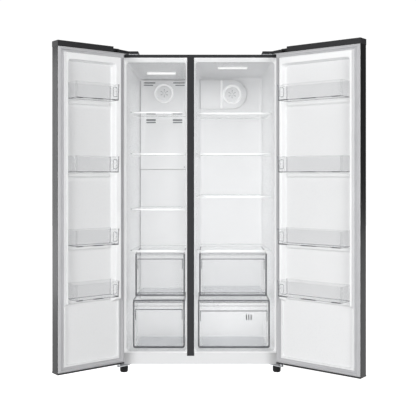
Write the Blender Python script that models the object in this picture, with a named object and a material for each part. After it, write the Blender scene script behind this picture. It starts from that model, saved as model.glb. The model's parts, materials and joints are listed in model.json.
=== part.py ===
"""Side-by-side refrigerator, doors open: freezer on the left, fresh food on the right.

Metres, +Z up, front towards -Y. Everything is laid out in the cabinet's own frame, whose zero is the
middle of the cabinet's front face at floor level. One empty then carries the whole object so that the
world origin is the centre of the object's footprint with its doors open.

Door parts are drawn closed, and the empty on each hinge pin turns them open.
"""

import math

import bmesh
import bpy
from mathutils import Matrix, Vector

# ---------------------------------------------------------------- driving dimensions
CABINET_WIDTH = 0.906
CABINET_DEPTH = 0.592
CABINET_BOTTOM = 0.052
CABINET_TOP = 1.752
DOOR_TOP = 1.780

FREEZER_DOOR_WIDTH = 0.3955
FRIDGE_DOOR_WIDTH = 0.5005
DOOR_THICKNESS = 0.065
DOOR_GAP = 0.010  # between a closed door's inner face and the cabinet front
DOOR_SKIN_BOTTOM = 0.077
DOOR_SKIN_TOP = 1.7505
DOOR_BOTTOM = 0.069
DOOR_OPENING = math.radians(142)
PIN_INBOARD = 0.013  # hinge pin from the cabinet's side
PIN_FORWARD = 0.040  # hinge pin in front of the cabinet
PIN_RADIUS = 0.005

SHEET = 0.0012
LINER_WALL = 0.002
CLEARANCE = 0.0003
FRONT_BAND = 0.0175  # visible steel flange round the cabinet front

MULLION_LEFT = -0.0728
MULLION_RIGHT = -0.0338
MULLION_MIDDLE = (MULLION_LEFT + MULLION_RIGHT) / 2
MULLION_BOTTOM = 0.098

OPENING_TOP = 1.7165
OPENING_FLOOR = 0.118
THROAT_DEPTH = 0.030  # a closed door's dykes sit in the sloping mouth of each liner
THROAT_INSET = 0.001  # from the steel flange to the mouth
FREEZER_FRONT_X = (-0.4117, -0.0779)
FREEZER_BACK_X = (-0.360, -0.089)
FREEZER_DEPTH = 0.530
FREEZER_CEILING_BACK = 1.657
FRIDGE_FRONT_X = (-0.0295, 0.4123)
FRIDGE_BACK_X = (-0.0085, 0.376)
FRIDGE_DEPTH = 0.520
FRIDGE_CEILING_BACK = 1.694
STEP_FRONT = 0.357  # the floor rises over the machine room from here back
STEP_TOP = 0.335

SHELF_FRONT = 0.120
SHELF_SIDE_GAP = 0.003
SHELF_GLASS = 0.004
SHELF_TRIM_HEIGHT = 0.010
SHELF_TRIM_DEPTH = 0.010
FREEZER_SHELF_TOPS = (1.4476, 1.2139, 0.9000)
FRIDGE_SHELF_TOPS = (1.4426, 1.2139, 0.9712)
DRAWER_COVER_TOP = 0.6655
EVAPORATOR_COVER_Y = 0.430

UPPER_DRAWER_Z = (0.404, 0.6505)
LOWER_DRAWER_Z = (0.1260, 0.3930)
UPPER_DRAWER_FRONT = 0.130
LOWER_DRAWER_FRONT = 0.060
DRAWER_WALL = 0.003

BIN_BOTTOMS = (1.481, 1.104, 0.726, 0.452)
BIN_HEIGHT = 0.085
BIN_REACH = 0.100  # from the door's inner face to the bin's front
BIN_WALL = 0.0025
FREEZER_BIN_SPAN = (0.0870, 0.3460)  # measured from the hinge side of the door
FRIDGE_BIN_SPAN = (0.0680, 0.4500)

FOOT_X = 0.4235
FOOT_Y = 0.046
ROLLER_X = 0.400
ROLLER_Y = 0.540
ROLLER_RADIUS = 0.022

ROUND_SIDES = 24

# ---------------------------------------------------------------- derived places
HALF_WIDTH = CABINET_WIDTH / 2
DOOR_BACK = -DOOR_GAP
DOOR_FRONT = DOOR_BACK - DOOR_THICKNESS
PIN_X = HALF_WIDTH - PIN_INBOARD
PIN_Y = -PIN_FORWARD


def open_reach(door_width, outward, inward):
    """How far from the pin a point of the open door lies, as (sideways, forwards).

    The point is on the free edge, less outward, and inward behind the door's inner face.
    """
    along = door_width - PIN_INBOARD - outward
    across = PIN_FORWARD - DOOR_GAP + inward
    sideways = -along * math.cos(DOOR_OPENING) - across * math.sin(DOOR_OPENING)
    forwards = along * math.sin(DOOR_OPENING) - across * math.cos(DOOR_OPENING)
    return sideways, forwards


LEFT_REACH = PIN_X + open_reach(FREEZER_DOOR_WIDTH, 0, -DOOR_THICKNESS)[0]
RIGHT_REACH = PIN_X + open_reach(FRIDGE_DOOR_WIDTH, 0, -DOOR_THICKNESS)[0]
BIN_END = FRIDGE_DOOR_WIDTH - FRIDGE_BIN_SPAN[1]
FRONT_REACH = PIN_FORWARD + open_reach(FRIDGE_DOOR_WIDTH, BIN_END, BIN_REACH)[1]
INLET_LENGTH = 0.010
BACK_REACH = CABINET_DEPTH + 0.002 + INLET_LENGTH
FOOTPRINT_CENTRE = Vector(((RIGHT_REACH - LEFT_REACH) / 2, (BACK_REACH - FRONT_REACH) / 2, 0))

for old in list(bpy.data.objects):
    bpy.data.objects.remove(old)

# ---------------------------------------------------------------- finishes


def finish(name, colour, roughness, metallic=0.0, alpha=1.0):
    """A Principled material."""
    material = bpy.data.materials.new(name)
    material.use_nodes = True
    shader = material.node_tree.nodes["Principled BSDF"]
    shader.inputs["Base Color"].default_value = (*colour, 1.0)
    shader.inputs["Roughness"].default_value = roughness
    shader.inputs["Metallic"].default_value = metallic
    shader.inputs["Alpha"].default_value = alpha
    material.diffuse_color = (*colour, alpha)
    return material


GRAPHITE_STEEL = finish("graphite_steel", (0.085, 0.087, 0.092), 0.35, 0.7)
BLACK_PLASTIC = finish("black_plastic", (0.02, 0.02, 0.022), 0.5)
MULLION_GREY = finish("mullion_grey", (0.045, 0.045, 0.048), 0.4, 0.3)
WHITE_LINER = finish("white_liner", (0.83, 0.83, 0.84), 0.35)
WHITE_MOULDING = finish("white_moulding", (0.86, 0.86, 0.87), 0.35)
GASKET_GREY = finish("gasket_grey", (0.42, 0.42, 0.44), 0.7)
CLEAR_PLASTIC = finish("clear_plastic", (0.80, 0.82, 0.84), 0.12, 0.0, 0.35)
SHELF_CLEAR = finish("shelf_glass", (0.86, 0.90, 0.90), 0.05, 0.0, 0.35)
LAMP_WHITE = finish("lamp_white", (0.95, 0.95, 0.93), 0.3)
ZINC_STEEL = finish("zinc_steel", (0.55, 0.56, 0.58), 0.4, 0.9)
BARE_ALUMINIUM = finish("bare_aluminium", (0.70, 0.71, 0.73), 0.4, 0.9)
BLACK_PAINT = finish("black_paint", (0.02, 0.02, 0.02), 0.45, 0.2)
CONDENSER_BLACK = finish("condenser_black", (0.03, 0.03, 0.03), 0.5, 0.5)
GREY_PLASTIC = finish("grey_plastic", (0.30, 0.31, 0.32), 0.6)

# ---------------------------------------------------------------- object helpers
ANCHOR_AT = {}


def anchor(name, position, parent=None, turn=0.0):
    """An empty at a place given in the cabinet's frame, turned about Z."""
    empty = bpy.data.objects.new(name, None)
    bpy.context.scene.collection.objects.link(empty)
    ANCHOR_AT[name] = Vector(position)
    if parent:
        empty.parent = parent
        empty.location = Vector(position) - ANCHOR_AT[parent.name]
    empty.rotation_euler.z = turn
    return empty


def make(name, bm, material, parent, origin=(0, 0, 0)):
    """Turns a bmesh drawn in the cabinet's frame into an object with its own origin."""
    bmesh.ops.recalc_face_normals(bm, faces=bm.faces)
    bmesh.ops.translate(bm, verts=bm.verts, vec=-Vector(origin))
    mesh = bpy.data.meshes.new(name)
    bm.to_mesh(mesh)
    bm.free()
    obj = bpy.data.objects.new(name, mesh)
    bpy.context.scene.collection.objects.link(obj)
    obj.parent = parent
    obj.location = Vector(origin) - ANCHOR_AT[parent.name]
    if material:
        mesh.materials.append(material)
    return obj


def helper(name, bm, like):
    """A cutter or an addition: the same frame as the object it shapes, and never rendered."""
    tool = make(name, bm, None, like.parent)
    tool.hide_render = True
    tool.display_type = "WIRE"
    return tool


def combine(obj, tool, operation):
    modifier = obj.modifiers.new(tool.name, "BOOLEAN")
    modifier.operation = operation
    modifier.solver = "EXACT"
    modifier.object = tool


def cut(obj, bm, what):
    combine(obj, helper(f"{obj.name}_{what}_cutter", bm, obj), "DIFFERENCE")


def add(obj, bm, what):
    combine(obj, helper(f"{obj.name}_{what}_addition", bm, obj), "UNION")


def smooth(obj, angle=35):
    obj.data.shade_smooth()
    obj.data.set_sharp_from_angle(angle=math.radians(angle))
    return obj


# ---------------------------------------------------------------- shape helpers


def bridge(bm, ring, other):
    """Faces between two closed rings of the same length."""
    for i in range(len(ring)):
        j = (i + 1) % len(ring)
        bm.faces.new((ring[i], ring[j], other[j], other[i]))


def closed_loft(bm, outline, other):
    """A closed solid between two outlines of 3-D points."""
    first = [bm.verts.new(p) for p in outline]
    last = [bm.verts.new(p) for p in other]
    bm.faces.new(first)
    bm.faces.new(last)
    bridge(bm, first, last)


def box(bm, low, high):
    (x0, y0, z0), (x1, y1, z1) = low, high
    closed_loft(
        bm,
        [(x0, y0, z0), (x1, y0, z0), (x1, y1, z0), (x0, y1, z0)],
        [(x0, y0, z1), (x1, y0, z1), (x1, y1, z1), (x0, y1, z1)],
    )


def box_mesh(low, high):
    bm = bmesh.new()
    box(bm, low, high)
    return bm


def rect_loft(bm, near, near_y, far, far_y):
    """A four-sided frustum along Y; each rectangle is (x0, x1, z0, z1)."""

    def corners(rect, y):
        x0, x1, z0, z1 = rect
        return [(x0, y, z0), (x1, y, z0), (x1, y, z1), (x0, y, z1)]

    closed_loft(bm, corners(near, near_y), corners(far, far_y))


def prism_x(bm, outline, left, right):
    """An outline of (y, z) points between two side walls, each given as a function of y."""
    closed_loft(
        bm,
        [(left(y), y, z) for y, z in outline],
        [(right(y), y, z) for y, z in outline],
    )


def slab(bm, outline, bottom, top):
    """An outline of (x, y) points with a constant height."""
    closed_loft(bm, [(x, y, bottom) for x, y in outline], [(x, y, top) for x, y in outline])


def arc(centre, radius, start, end, steps):
    """Points on an arc, in degrees, both ends included."""
    points = []
    for i in range(steps + 1):
        angle = math.radians(start + (end - start) * i / steps)
        points.append((centre[0] + radius * math.cos(angle), centre[1] + radius * math.sin(angle)))
    return points


TURNED_AXES = {
    "Z": Matrix.Identity(3),
    "Y": Matrix.Rotation(math.radians(-90), 3, "X"),
    "X": Matrix.Rotation(math.radians(90), 3, "Y"),
}


def turned(bm, profile, centre, axis="Z", sides=ROUND_SIDES):
    """A turned solid. The profile is (radius, height) pairs that start and end on the axis."""
    place = TURNED_AXES[axis]
    rings = []
    for radius, height in profile:
        count = sides if radius > 0 else 1
        ring = []
        for i in range(count):
            angle = 2 * math.pi * i / count
            point = Vector((radius * math.cos(angle), radius * math.sin(angle), height))
            ring.append(bm.verts.new(Vector(centre) + place @ point))
        rings.append(ring)
    for ring, other in zip(rings, rings[1:]):
        for i in range(sides):
            a, b = ring[i % len(ring)], ring[(i + 1) % len(ring)]
            c, d = other[(i + 1) % len(other)], other[i % len(other)]
            bm.faces.new(list(dict.fromkeys((a, b, c, d))))


def turned_ring(bm, profile, centre, axis="Z", sides=ROUND_SIDES):
    """A turned solid with a hole through it. The profile is a closed loop of (radius, height) pairs."""
    place = TURNED_AXES[axis]
    rings = []
    for radius, height in profile:
        angles = [2 * math.pi * i / sides for i in range(sides)]
        points = [Vector((radius * math.cos(a), radius * math.sin(a), height)) for a in angles]
        rings.append([bm.verts.new(Vector(centre) + place @ point) for point in points])
    for ring, other in zip(rings, rings[1:] + rings[:1]):
        bridge(bm, ring, other)


def rod(bm, centre, radius, low, high, axis="Z", sides=ROUND_SIDES):
    turned(bm, [(0, low), (radius, low), (radius, high), (0, high)], centre, axis, sides)


def tray(bm, low, high, wall, taper):
    """An open-topped tray whose sides lean in by taper towards the floor."""
    (x0, y0, z0), (x1, y1, z1) = low, high

    def ring(inset, z):
        return [
            bm.verts.new(p)
            for p in (
                (x0 + inset, y0 + inset, z),
                (x1 - inset, y0 + inset, z),
                (x1 - inset, y1 - inset, z),
                (x0 + inset, y1 - inset, z),
            )
        ]

    outer_floor = ring(taper, z0)
    outer_rim = ring(0, z1)
    inner_rim = ring(wall, z1)
    inner_floor = ring(taper + wall, z0 + wall)
    bm.faces.new(outer_floor)
    bm.faces.new(inner_floor)
    bridge(bm, outer_floor, outer_rim)
    bridge(bm, outer_rim, inner_rim)
    bridge(bm, inner_rim, inner_floor)


def ramp(start, end, depth):
    """A straight line in y through (0, start) and (depth, end)."""
    return lambda y: start + (end - start) * y / depth


# ---------------------------------------------------------------- the cabinet
REFRIGERATOR = anchor("refrigerator", (0, 0, 0))
REFRIGERATOR.location = -FOOTPRINT_CENTRE
ANCHOR_AT["refrigerator"] = Vector((0, 0, 0))

freezer_left = ramp(FREEZER_FRONT_X[0], FREEZER_BACK_X[0], FREEZER_DEPTH)
freezer_right = ramp(FREEZER_FRONT_X[1], FREEZER_BACK_X[1], FREEZER_DEPTH)
freezer_ceiling = ramp(OPENING_TOP, FREEZER_CEILING_BACK, FREEZER_DEPTH)
fridge_left = ramp(FRIDGE_FRONT_X[0], FRIDGE_BACK_X[0], FRIDGE_DEPTH)
fridge_right = ramp(FRIDGE_FRONT_X[1], FRIDGE_BACK_X[1], FRIDGE_DEPTH)
fridge_ceiling = ramp(OPENING_TOP, FRIDGE_CEILING_BACK, FRIDGE_DEPTH)


def cabinet_shell():
    """The wrapped outer sheet: two sides and a top, with a flange turned in round the front."""
    shell = make(
        "cabinet_shell",
        box_mesh((-HALF_WIDTH, 0, CABINET_BOTTOM), (HALF_WIDTH, CABINET_DEPTH, CABINET_TOP)),
        GRAPHITE_STEEL,
        REFRIGERATOR,
    )
    inside = HALF_WIDTH - SHEET
    cut(shell, box_mesh((-inside, SHEET, 0), (inside, 1, CABINET_TOP - SHEET)), "inside")
    window = HALF_WIDTH - FRONT_BAND
    cut(shell, box_mesh((-window, -0.1, 0), (window, 0.1, CABINET_TOP - FRONT_BAND)), "window")


def liner(name, left, right, ceiling, depth, lip_x, mouth_x):
    """A vacuum-formed compartment: drafted walls, a raised floor at the back and a sloping mouth."""

    def outline(grow, front):
        return [
            (front, OPENING_FLOOR - grow),
            (STEP_FRONT - grow, OPENING_FLOOR - grow),
            (STEP_FRONT - grow, STEP_TOP - grow),
            (depth + grow, STEP_TOP - grow),
            (depth + grow, ceiling(depth) + grow),
            (front, ceiling(front) + grow),
        ]

    lip_front = SHEET + CLEARANCE
    lip_thickness = 0.0025
    lip_bottom = OPENING_FLOOR - 0.0045
    mouth_top = CABINET_TOP - FRONT_BAND - THROAT_INSET
    mouth = (mouth_x[0], mouth_x[1], OPENING_FLOOR - 0.002, mouth_top)
    inner_end = (left(THROAT_DEPTH), right(THROAT_DEPTH), OPENING_FLOOR, ceiling(THROAT_DEPTH))

    def throat(grow, y):
        share = (y - lip_front) / (THROAT_DEPTH - lip_front)
        x0, x1, z0, z1 = (start + (end - start) * share for start, end in zip(mouth, inner_end))
        return (x0 - grow, x1 + grow, z0 - grow, z1 + grow)

    body = bmesh.new()
    prism_x(
        body,
        outline(LINER_WALL, THROAT_DEPTH - 0.002),
        lambda y: left(y) - LINER_WALL,
        lambda y: right(y) + LINER_WALL,
    )
    obj = make(name, body, WHITE_LINER, REFRIGERATOR)
    funnel = bmesh.new()
    start, end = lip_front + 0.001, THROAT_DEPTH
    rect_loft(funnel, throat(LINER_WALL + 0.0002, start), start, throat(LINER_WALL + 0.0002, end), end)
    add(obj, funnel, "throat")
    lip = box_mesh(
        (lip_x[0], lip_front, lip_bottom),
        (lip_x[1], lip_front + lip_thickness, CABINET_TOP - SHEET - CLEARANCE),
    )
    add(obj, lip, "lip")
    mouth_cutter = bmesh.new()
    start = lip_front - 0.005
    rect_loft(mouth_cutter, throat(0, start), start, throat(0, end), end)
    cut(obj, mouth_cutter, "mouth")
    hollow = bmesh.new()
    prism_x(hollow, outline(0, THROAT_DEPTH - 0.006), left, right)
    cut(obj, hollow, "hollow")


MULLION_PROUD = 0.0010  # how far the mullion cover stands in front of the cabinet


def mullion_cover():
    """The dark strip between the two compartments."""
    cover = box_mesh(
        (MULLION_LEFT, -MULLION_PROUD, MULLION_BOTTOM),
        (MULLION_RIGHT, SHEET, CABINET_TOP - FRONT_BAND - CLEARANCE),
    )
    make("mullion_cover", cover, MULLION_GREY, REFRIGERATOR)


BACK_FACE = CABINET_DEPTH + CLEARANCE
BACK_PANEL_BOTTOM = 0.300
BACK_PANEL_THICKNESS = 0.001


def back_panel():
    """The flat back sheet, above the machine room."""
    half = HALF_WIDTH - 0.002
    sheet = box_mesh(
        (-half, BACK_FACE, BACK_PANEL_BOTTOM),
        (half, BACK_FACE + BACK_PANEL_THICKNESS, CABINET_TOP - 0.004),
    )
    make("back_panel", sheet, ZINC_STEEL, REFRIGERATOR)


KICK_THICKNESS = 0.003


def kick_panel():
    """The white apron under the compartments, notched round the foot of the mullion cover."""
    half = HALF_WIDTH - FRONT_BAND - CLEARANCE
    gap = 0.0005
    top = OPENING_FLOOR - 0.0050
    panel = box_mesh((-half, 0, CABINET_BOTTOM + gap), (half, KICK_THICKNESS, top))
    obj = make("kick_panel", panel, WHITE_MOULDING, REFRIGERATOR)
    notch = box_mesh(
        (MULLION_LEFT - gap, -KICK_THICKNESS, MULLION_BOTTOM - gap),
        (MULLION_RIGHT + gap, 2 * KICK_THICKNESS, top + KICK_THICKNESS),
    )
    cut(obj, notch, "mullion")


PAN_BOTTOM = CABINET_BOTTOM + 0.0002
PAN_TOP = PAN_BOTTOM + 0.0015
PAN_FRONT = 0.006
CHEEK_INNER = ROLLER_X - 0.0125
CHEEK_OUTER = ROLLER_X + 0.0125
CHEEK_THICKNESS = 0.003
CHEEK_HALF_DEPTH = 0.016
CHEEK_BOTTOM = 0.014
AXLE_RADIUS = 0.004
STEM_HOLE_RADIUS = 0.0056


def base_pan():
    """The steel floor of the cabinet, with the cheeks that carry the rear rollers."""
    half = HALF_WIDTH - SHEET - 0.0008
    pan = make(
        "base_pan",
        box_mesh((-half, PAN_FRONT, PAN_BOTTOM), (half, CABINET_DEPTH - 0.002, PAN_TOP)),
        ZINC_STEEL,
        REFRIGERATOR,
    )
    cheeks = bmesh.new()
    holes = bmesh.new()
    for side in (-1, 1):
        for near in (CHEEK_INNER - CHEEK_THICKNESS, CHEEK_OUTER):
            low, high = sorted((side * near, side * (near + CHEEK_THICKNESS)))
            box(
                cheeks,
                (low, ROLLER_Y - CHEEK_HALF_DEPTH, CHEEK_BOTTOM),
                (high, ROLLER_Y + CHEEK_HALF_DEPTH, PAN_BOTTOM + 0.001),
            )
        rod(holes, (side * FOOT_X, FOOT_Y, 0), STEM_HOLE_RADIUS, 0.040, 0.070, "Z", 16)
        axle_centre = (side * ROLLER_X, ROLLER_Y, ROLLER_RADIUS)
        rod(holes, axle_centre, AXLE_RADIUS + 0.0004, -0.03, 0.03, "X", 16)
    add(pan, cheeks, "cheeks")
    cut(pan, holes, "holes")


# ---------------------------------------------------------------- cold air parts
EVAPORATOR_COVER_THICKNESS = 0.004
FAN_X, FAN_Z = -0.2235, 1.5865
RING_OUTER = 0.060
RING_INNER = 0.048
VENT_ROWS = (
    # bottom, top, and the x span of the left vent of the row; the right one mirrors it about the fan
    (1.6456, 1.6528, (-0.3474, -0.2769)),
    (1.6315, 1.6376, (-0.3474, -0.2902)),
    (1.4585, 1.4635, (-0.3322, -0.2744)),
    (1.4180, 1.4289, (-0.3322, -0.2744)),
    (1.4052, 1.4131, (-0.3322, -0.2744)),
)


def outlet_ring(centre):
    """The raised rim of a round fan outlet, on a panel that faces forwards."""
    rim = bmesh.new()
    profile = [(RING_INNER, 0.002), (RING_INNER, -0.005), (RING_INNER + 0.002, -0.006)]
    profile += [(RING_OUTER - 0.003, -0.006), (RING_OUTER, -0.003), (RING_OUTER, 0.002)]
    turned_ring(rim, profile, centre, "Y", 32)
    return rim


def outlet_holes(x, y, z, depth):
    """Two rings of small round holes in the middle of a fan outlet."""
    holes = bmesh.new()
    for radius in (0.012, 0.024):
        for i in range(6):
            angle = math.radians(60 * i + 7)
            centre = (x + radius * math.cos(angle), y, z + radius * math.sin(angle))
            rod(holes, centre, 0.003, -0.02, depth, "Y", 8)
    return holes


def evaporator_cover():
    """The removable back wall of the freezer, with its air slots and the round fan outlet."""
    back = EVAPORATOR_COVER_Y + EVAPORATOR_COVER_THICKNESS
    gap = 0.002
    panel = box_mesh(
        (freezer_left(back) + gap, EVAPORATOR_COVER_Y, STEP_TOP + gap / 2),
        (freezer_right(back) - gap, back, freezer_ceiling(back) - gap),
    )
    cover = make("evaporator_cover", panel, WHITE_MOULDING, REFRIGERATOR)
    add(cover, outlet_ring((FAN_X, EVAPORATOR_COVER_Y, FAN_Z)), "ring")
    slots = bmesh.new()
    for bottom, slot_top, (x0, x1) in VENT_ROWS:
        for low, high in ((x0, x1), (2 * FAN_X - x1, 2 * FAN_X - x0)):
            box(slots, (low, EVAPORATOR_COVER_Y - 0.02, bottom), (high, back + 0.01, slot_top))
    cut(cover, slots, "slots")
    cut(cover, outlet_holes(FAN_X, EVAPORATOR_COVER_Y, FAN_Z, 0.02), "holes")


def evaporator():
    """The finned coil behind the cover: one block with deep fin gaps from the front."""
    x0, x1, y0, y1, z0, z1 = -0.335, -0.115, 0.446, 0.516, 0.56, 0.98
    block = make("evaporator", box_mesh((x0, y0, z0), (x1, y1, z1)), BARE_ALUMINIUM, REFRIGERATOR)
    gaps = bmesh.new()
    count = 16
    fin = 0.0015
    pitch = (x1 - x0 - fin) / count
    for i in range(count):
        start = x0 + fin + pitch * i
        box(gaps, (start, y0 - 0.01, z0 - 0.01), (start + pitch - fin, y1 - 0.004, z1 + 0.01))
    cut(block, gaps, "gaps")


HUB_SHARE = 0.36  # of a fan's radius
BLADE_ROOT_SHARE = 0.16
BLADE_TIP_SHARE = 0.30
BLADE_HALF_THICKNESS = 0.0008
BLADE_PITCH = math.radians(28)


def fan(name, centre, axis, radius, blades, width, material):
    """A hub with pitched blades; its origin is on its own shaft."""
    hub = bmesh.new()
    hub_radius = radius * HUB_SHARE
    profile = [(0, -width / 2), (hub_radius, -width / 2), (hub_radius, width * 0.3)]
    profile += [(hub_radius * 0.6, width / 2), (0, width / 2)]
    turned(hub, profile, centre, axis)
    obj = make(name, hub, material, REFRIGERATOR, centre)

    def section(out, share):
        half, thick = radius * share, BLADE_HALF_THICKNESS
        return [(out, -half, -thick), (out, half, -thick), (out, half, thick), (out, -half, thick)]

    vanes = bmesh.new()
    for i in range(blades):
        vane = bmesh.new()
        closed_loft(vane, section(hub_radius * 0.7, BLADE_ROOT_SHARE), section(radius, BLADE_TIP_SHARE))
        pitch = Matrix.Rotation(BLADE_PITCH, 4, "X")
        spin = Matrix.Rotation(2 * math.pi * i / blades, 4, "Z")
        place = Matrix.Translation(centre) @ TURNED_AXES[axis].to_4x4() @ spin @ pitch
        bmesh.ops.transform(vane, matrix=place, verts=vane.verts)
        mesh = bpy.data.meshes.new("vane")
        vane.to_mesh(mesh)
        vane.free()
        vanes.from_mesh(mesh)
        bpy.data.meshes.remove(mesh)
    add(obj, vanes, "vanes")
    return smooth(obj)


MOTOR_RADIUS = 0.022
MOTOR_Y = (0.484, 0.516)


def fan_motor():
    """The small motor behind the evaporator fan."""
    motor = bmesh.new()
    rod(motor, (FAN_X, 0, FAN_Z), MOTOR_RADIUS, *MOTOR_Y, "Y")
    make("evaporator_fan_motor", motor, GREY_PLASTIC, REFRIGERATOR, (FAN_X, MOTOR_Y[0], FAN_Z))


DUCT_BACK = FRIDGE_DEPTH - CLEARANCE
DUCT_FRONT = DUCT_BACK - 0.016
DUCT_CENTRE = (0.1905, 1.5880)
DUCT_RADIUS = 0.0900


def fridge_duct_cover():
    """The low moulding over the air duct: square on the left, round on the right."""
    x, z = DUCT_CENTRE
    left = fridge_left(DUCT_FRONT) + 0.003
    round_end = arc(DUCT_CENTRE, DUCT_RADIUS, -90, 90, 20)
    outline = [(left, z + DUCT_RADIUS), (left, z - DUCT_RADIUS), *round_end]
    plate = bmesh.new()
    closed_loft(
        plate,
        [(px, DUCT_FRONT, pz) for px, pz in outline],
        [(px, DUCT_BACK, pz) for px, pz in outline],
    )
    cover = make("fridge_duct_cover", plate, WHITE_MOULDING, REFRIGERATOR)
    add(cover, outlet_ring((x, DUCT_FRONT, z)), "ring")
    half_hollow = 0.055
    hollow = box_mesh(
        (left + 0.02, DUCT_FRONT + 0.004, z - half_hollow), (x + 0.02, DUCT_BACK + 0.01, z + half_hollow)
    )
    cut(cover, hollow, "hollow")
    cut(cover, outlet_holes(x, DUCT_FRONT, z, 0.008), "holes")


LAMP_HALF_LENGTH = 0.0835
LAMP_HALF_DEPTH = 0.015
LAMP_HEIGHT = 0.012


def ceiling_lamp(name, centre_x, centre_y, ceiling):
    """A bar lamp under the sloping ceiling."""
    front, back = centre_y - LAMP_HALF_DEPTH, centre_y + LAMP_HALF_DEPTH
    gap = 0.0005
    outline = [
        (front, ceiling(front) - gap),
        (front + 0.004, ceiling(front) - LAMP_HEIGHT),
        (back - 0.004, ceiling(back) - LAMP_HEIGHT),
        (back, ceiling(back) - gap),
    ]
    bar = bmesh.new()
    left_end, right_end = centre_x - LAMP_HALF_LENGTH, centre_x + LAMP_HALF_LENGTH
    prism_x(bar, outline, lambda y: left_end, lambda y: right_end)
    make(name, bar, LAMP_WHITE, REFRIGERATOR)


# ---------------------------------------------------------------- shelves and drawers


def shelf(name, top, back, left, right, material=SHELF_CLEAR):
    """A glass plate with a deeper trim along its front edge, shaped to the drafted walls."""
    outline = [
        (SHELF_FRONT, top),
        (SHELF_FRONT, top - SHELF_TRIM_HEIGHT),
        (SHELF_FRONT + SHELF_TRIM_DEPTH, top - SHELF_TRIM_HEIGHT),
        (SHELF_FRONT + SHELF_TRIM_DEPTH, top - SHELF_GLASS),
        (back, top - SHELF_GLASS),
        (back, top),
    ]
    plate = bmesh.new()
    prism_x(plate, outline, lambda y: left(y) + SHELF_SIDE_GAP, lambda y: right(y) - SHELF_SIDE_GAP)
    make(name, plate, material, REFRIGERATOR, (0, SHELF_FRONT, top))


HANDLE_HEIGHT = 0.012
HANDLE_REACH = 0.008
HANDLE_END = 0.012  # from the drawer's corner to the end of its finger lip
DRAWER_TAPER = 0.006


def drawer(name, x_span, front, back, z_span, side_gap):
    """A clear drawer: a tapered tray with a finger lip along the top of its front."""
    x0, x1 = x_span[0] + side_gap, x_span[1] - side_gap
    body = bmesh.new()
    tray(body, (x0, front, z_span[0]), (x1, back, z_span[1]), DRAWER_WALL, DRAWER_TAPER)
    obj = make(name, body, CLEAR_PLASTIC, REFRIGERATOR, (0, front, z_span[0]))
    lip = box_mesh(
        (x0 + HANDLE_END, front - HANDLE_REACH, z_span[1] - HANDLE_HEIGHT),
        (x1 - HANDLE_END, front + DRAWER_WALL * 0.6, z_span[1] - 0.002),
    )
    add(obj, lip, "lip")


# ---------------------------------------------------------------- machine room


MACHINE_Y = 0.475  # the compressor, its tray and the fan stand in one line
COMPRESSOR_X = 0.230
POT_RADIUS = 0.075
POT_HEIGHT = 0.150
DOME_HEIGHT = 0.040
WELL_RADIUS = 0.048
WELL_DEPTH = 0.092
FOOT_ROUND = 0.020


def compressor():
    """The hermetic compressor: a domed steel pot on its base pan, hollow from below."""
    pot = bmesh.new()
    shoulder, inner = POT_HEIGHT - DOME_HEIGHT, POT_RADIUS - FOOT_ROUND
    profile = [(0, WELL_DEPTH), (WELL_RADIUS, WELL_DEPTH), (WELL_RADIUS, 0)]
    profile += [(inner - 0.002, 0), (inner, 0.006)]
    for angle in (30, 60, 90):
        turn = math.radians(angle)
        profile.append((inner + FOOT_ROUND * math.sin(turn), 0.036 - 0.030 * math.cos(turn)))
    profile.append((POT_RADIUS, shoulder))
    for angle in (25, 50, 72):
        turn = math.radians(angle)
        profile.append((POT_RADIUS * math.cos(turn), shoulder + DOME_HEIGHT * math.sin(turn)))
    profile.append((0, POT_HEIGHT))
    centre = (COMPRESSOR_X, MACHINE_Y, PAN_TOP + CLEARANCE)
    turned(pot, profile, centre)
    smooth(make("compressor", pot, BLACK_PAINT, REFRIGERATOR, centre))


def condenser():
    """The wire-and-tube heat rejector, as one slatted block in the fan's stream."""
    x0, x1, y0, y1, z0, z1 = -0.400, -0.190, 0.385, 0.565, 0.075, 0.245
    block = make("condenser", box_mesh((x0, y0, z0), (x1, y1, z1)), CONDENSER_BLACK, REFRIGERATOR)
    gaps = bmesh.new()
    layers = 7
    plate = 0.002
    pitch = (z1 - z0 - plate) / layers
    for i in range(layers):
        start = z0 + plate + pitch * i
        box(gaps, (x0 - 0.01, y0 - 0.01, start), (x1 - 0.006, y1 + 0.01, start + pitch - plate))
    cut(block, gaps, "gaps")


def drip_tray():
    """The water tray that sits over the compressor and dries on its heat."""
    half_width, half_depth = 0.110, 0.090
    bottom, top = 0.222, 0.262
    body = bmesh.new()
    tray(
        body,
        (COMPRESSOR_X - half_width, MACHINE_Y - half_depth, bottom),
        (COMPRESSOR_X + half_width, MACHINE_Y + half_depth, top),
        0.002,
        0.006,
    )
    make("drip_tray", body, GREY_PLASTIC, REFRIGERATOR, (COMPRESSOR_X, MACHINE_Y, bottom))


ROOM_COVER_HALF_WIDTH = 0.435
ROOM_COVER_Z = (0.062, 0.2985)
ROOM_COVER_THICKNESS = 0.0015
SLOT_COLUMNS = (-0.30, 0.23)
SLOT_HALF_LENGTH = 0.080
SLOT_HEIGHT = 0.008
FIRST_SLOT = 0.095
SLOT_PITCH = 0.025
SLOT_ROWS = 7


def machine_room_cover():
    """The slotted panel that closes the machine room at the back."""
    y0, y1 = BACK_FACE, BACK_FACE + ROOM_COVER_THICKNESS
    half = ROOM_COVER_HALF_WIDTH
    cover = make(
        "machine_room_cover",
        box_mesh((-half, y0, ROOM_COVER_Z[0]), (half, y1, ROOM_COVER_Z[1])),
        ZINC_STEEL,
        REFRIGERATOR,
    )
    slots = bmesh.new()
    for column in SLOT_COLUMNS:
        x0, x1 = column - SLOT_HALF_LENGTH, column + SLOT_HALF_LENGTH
        for row in range(SLOT_ROWS):
            z = FIRST_SLOT + SLOT_PITCH * row
            box(slots, (x0, y0 - 0.01, z), (x1, y1 + 0.01, z + SLOT_HEIGHT))
    cut(cover, slots, "slots")


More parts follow.
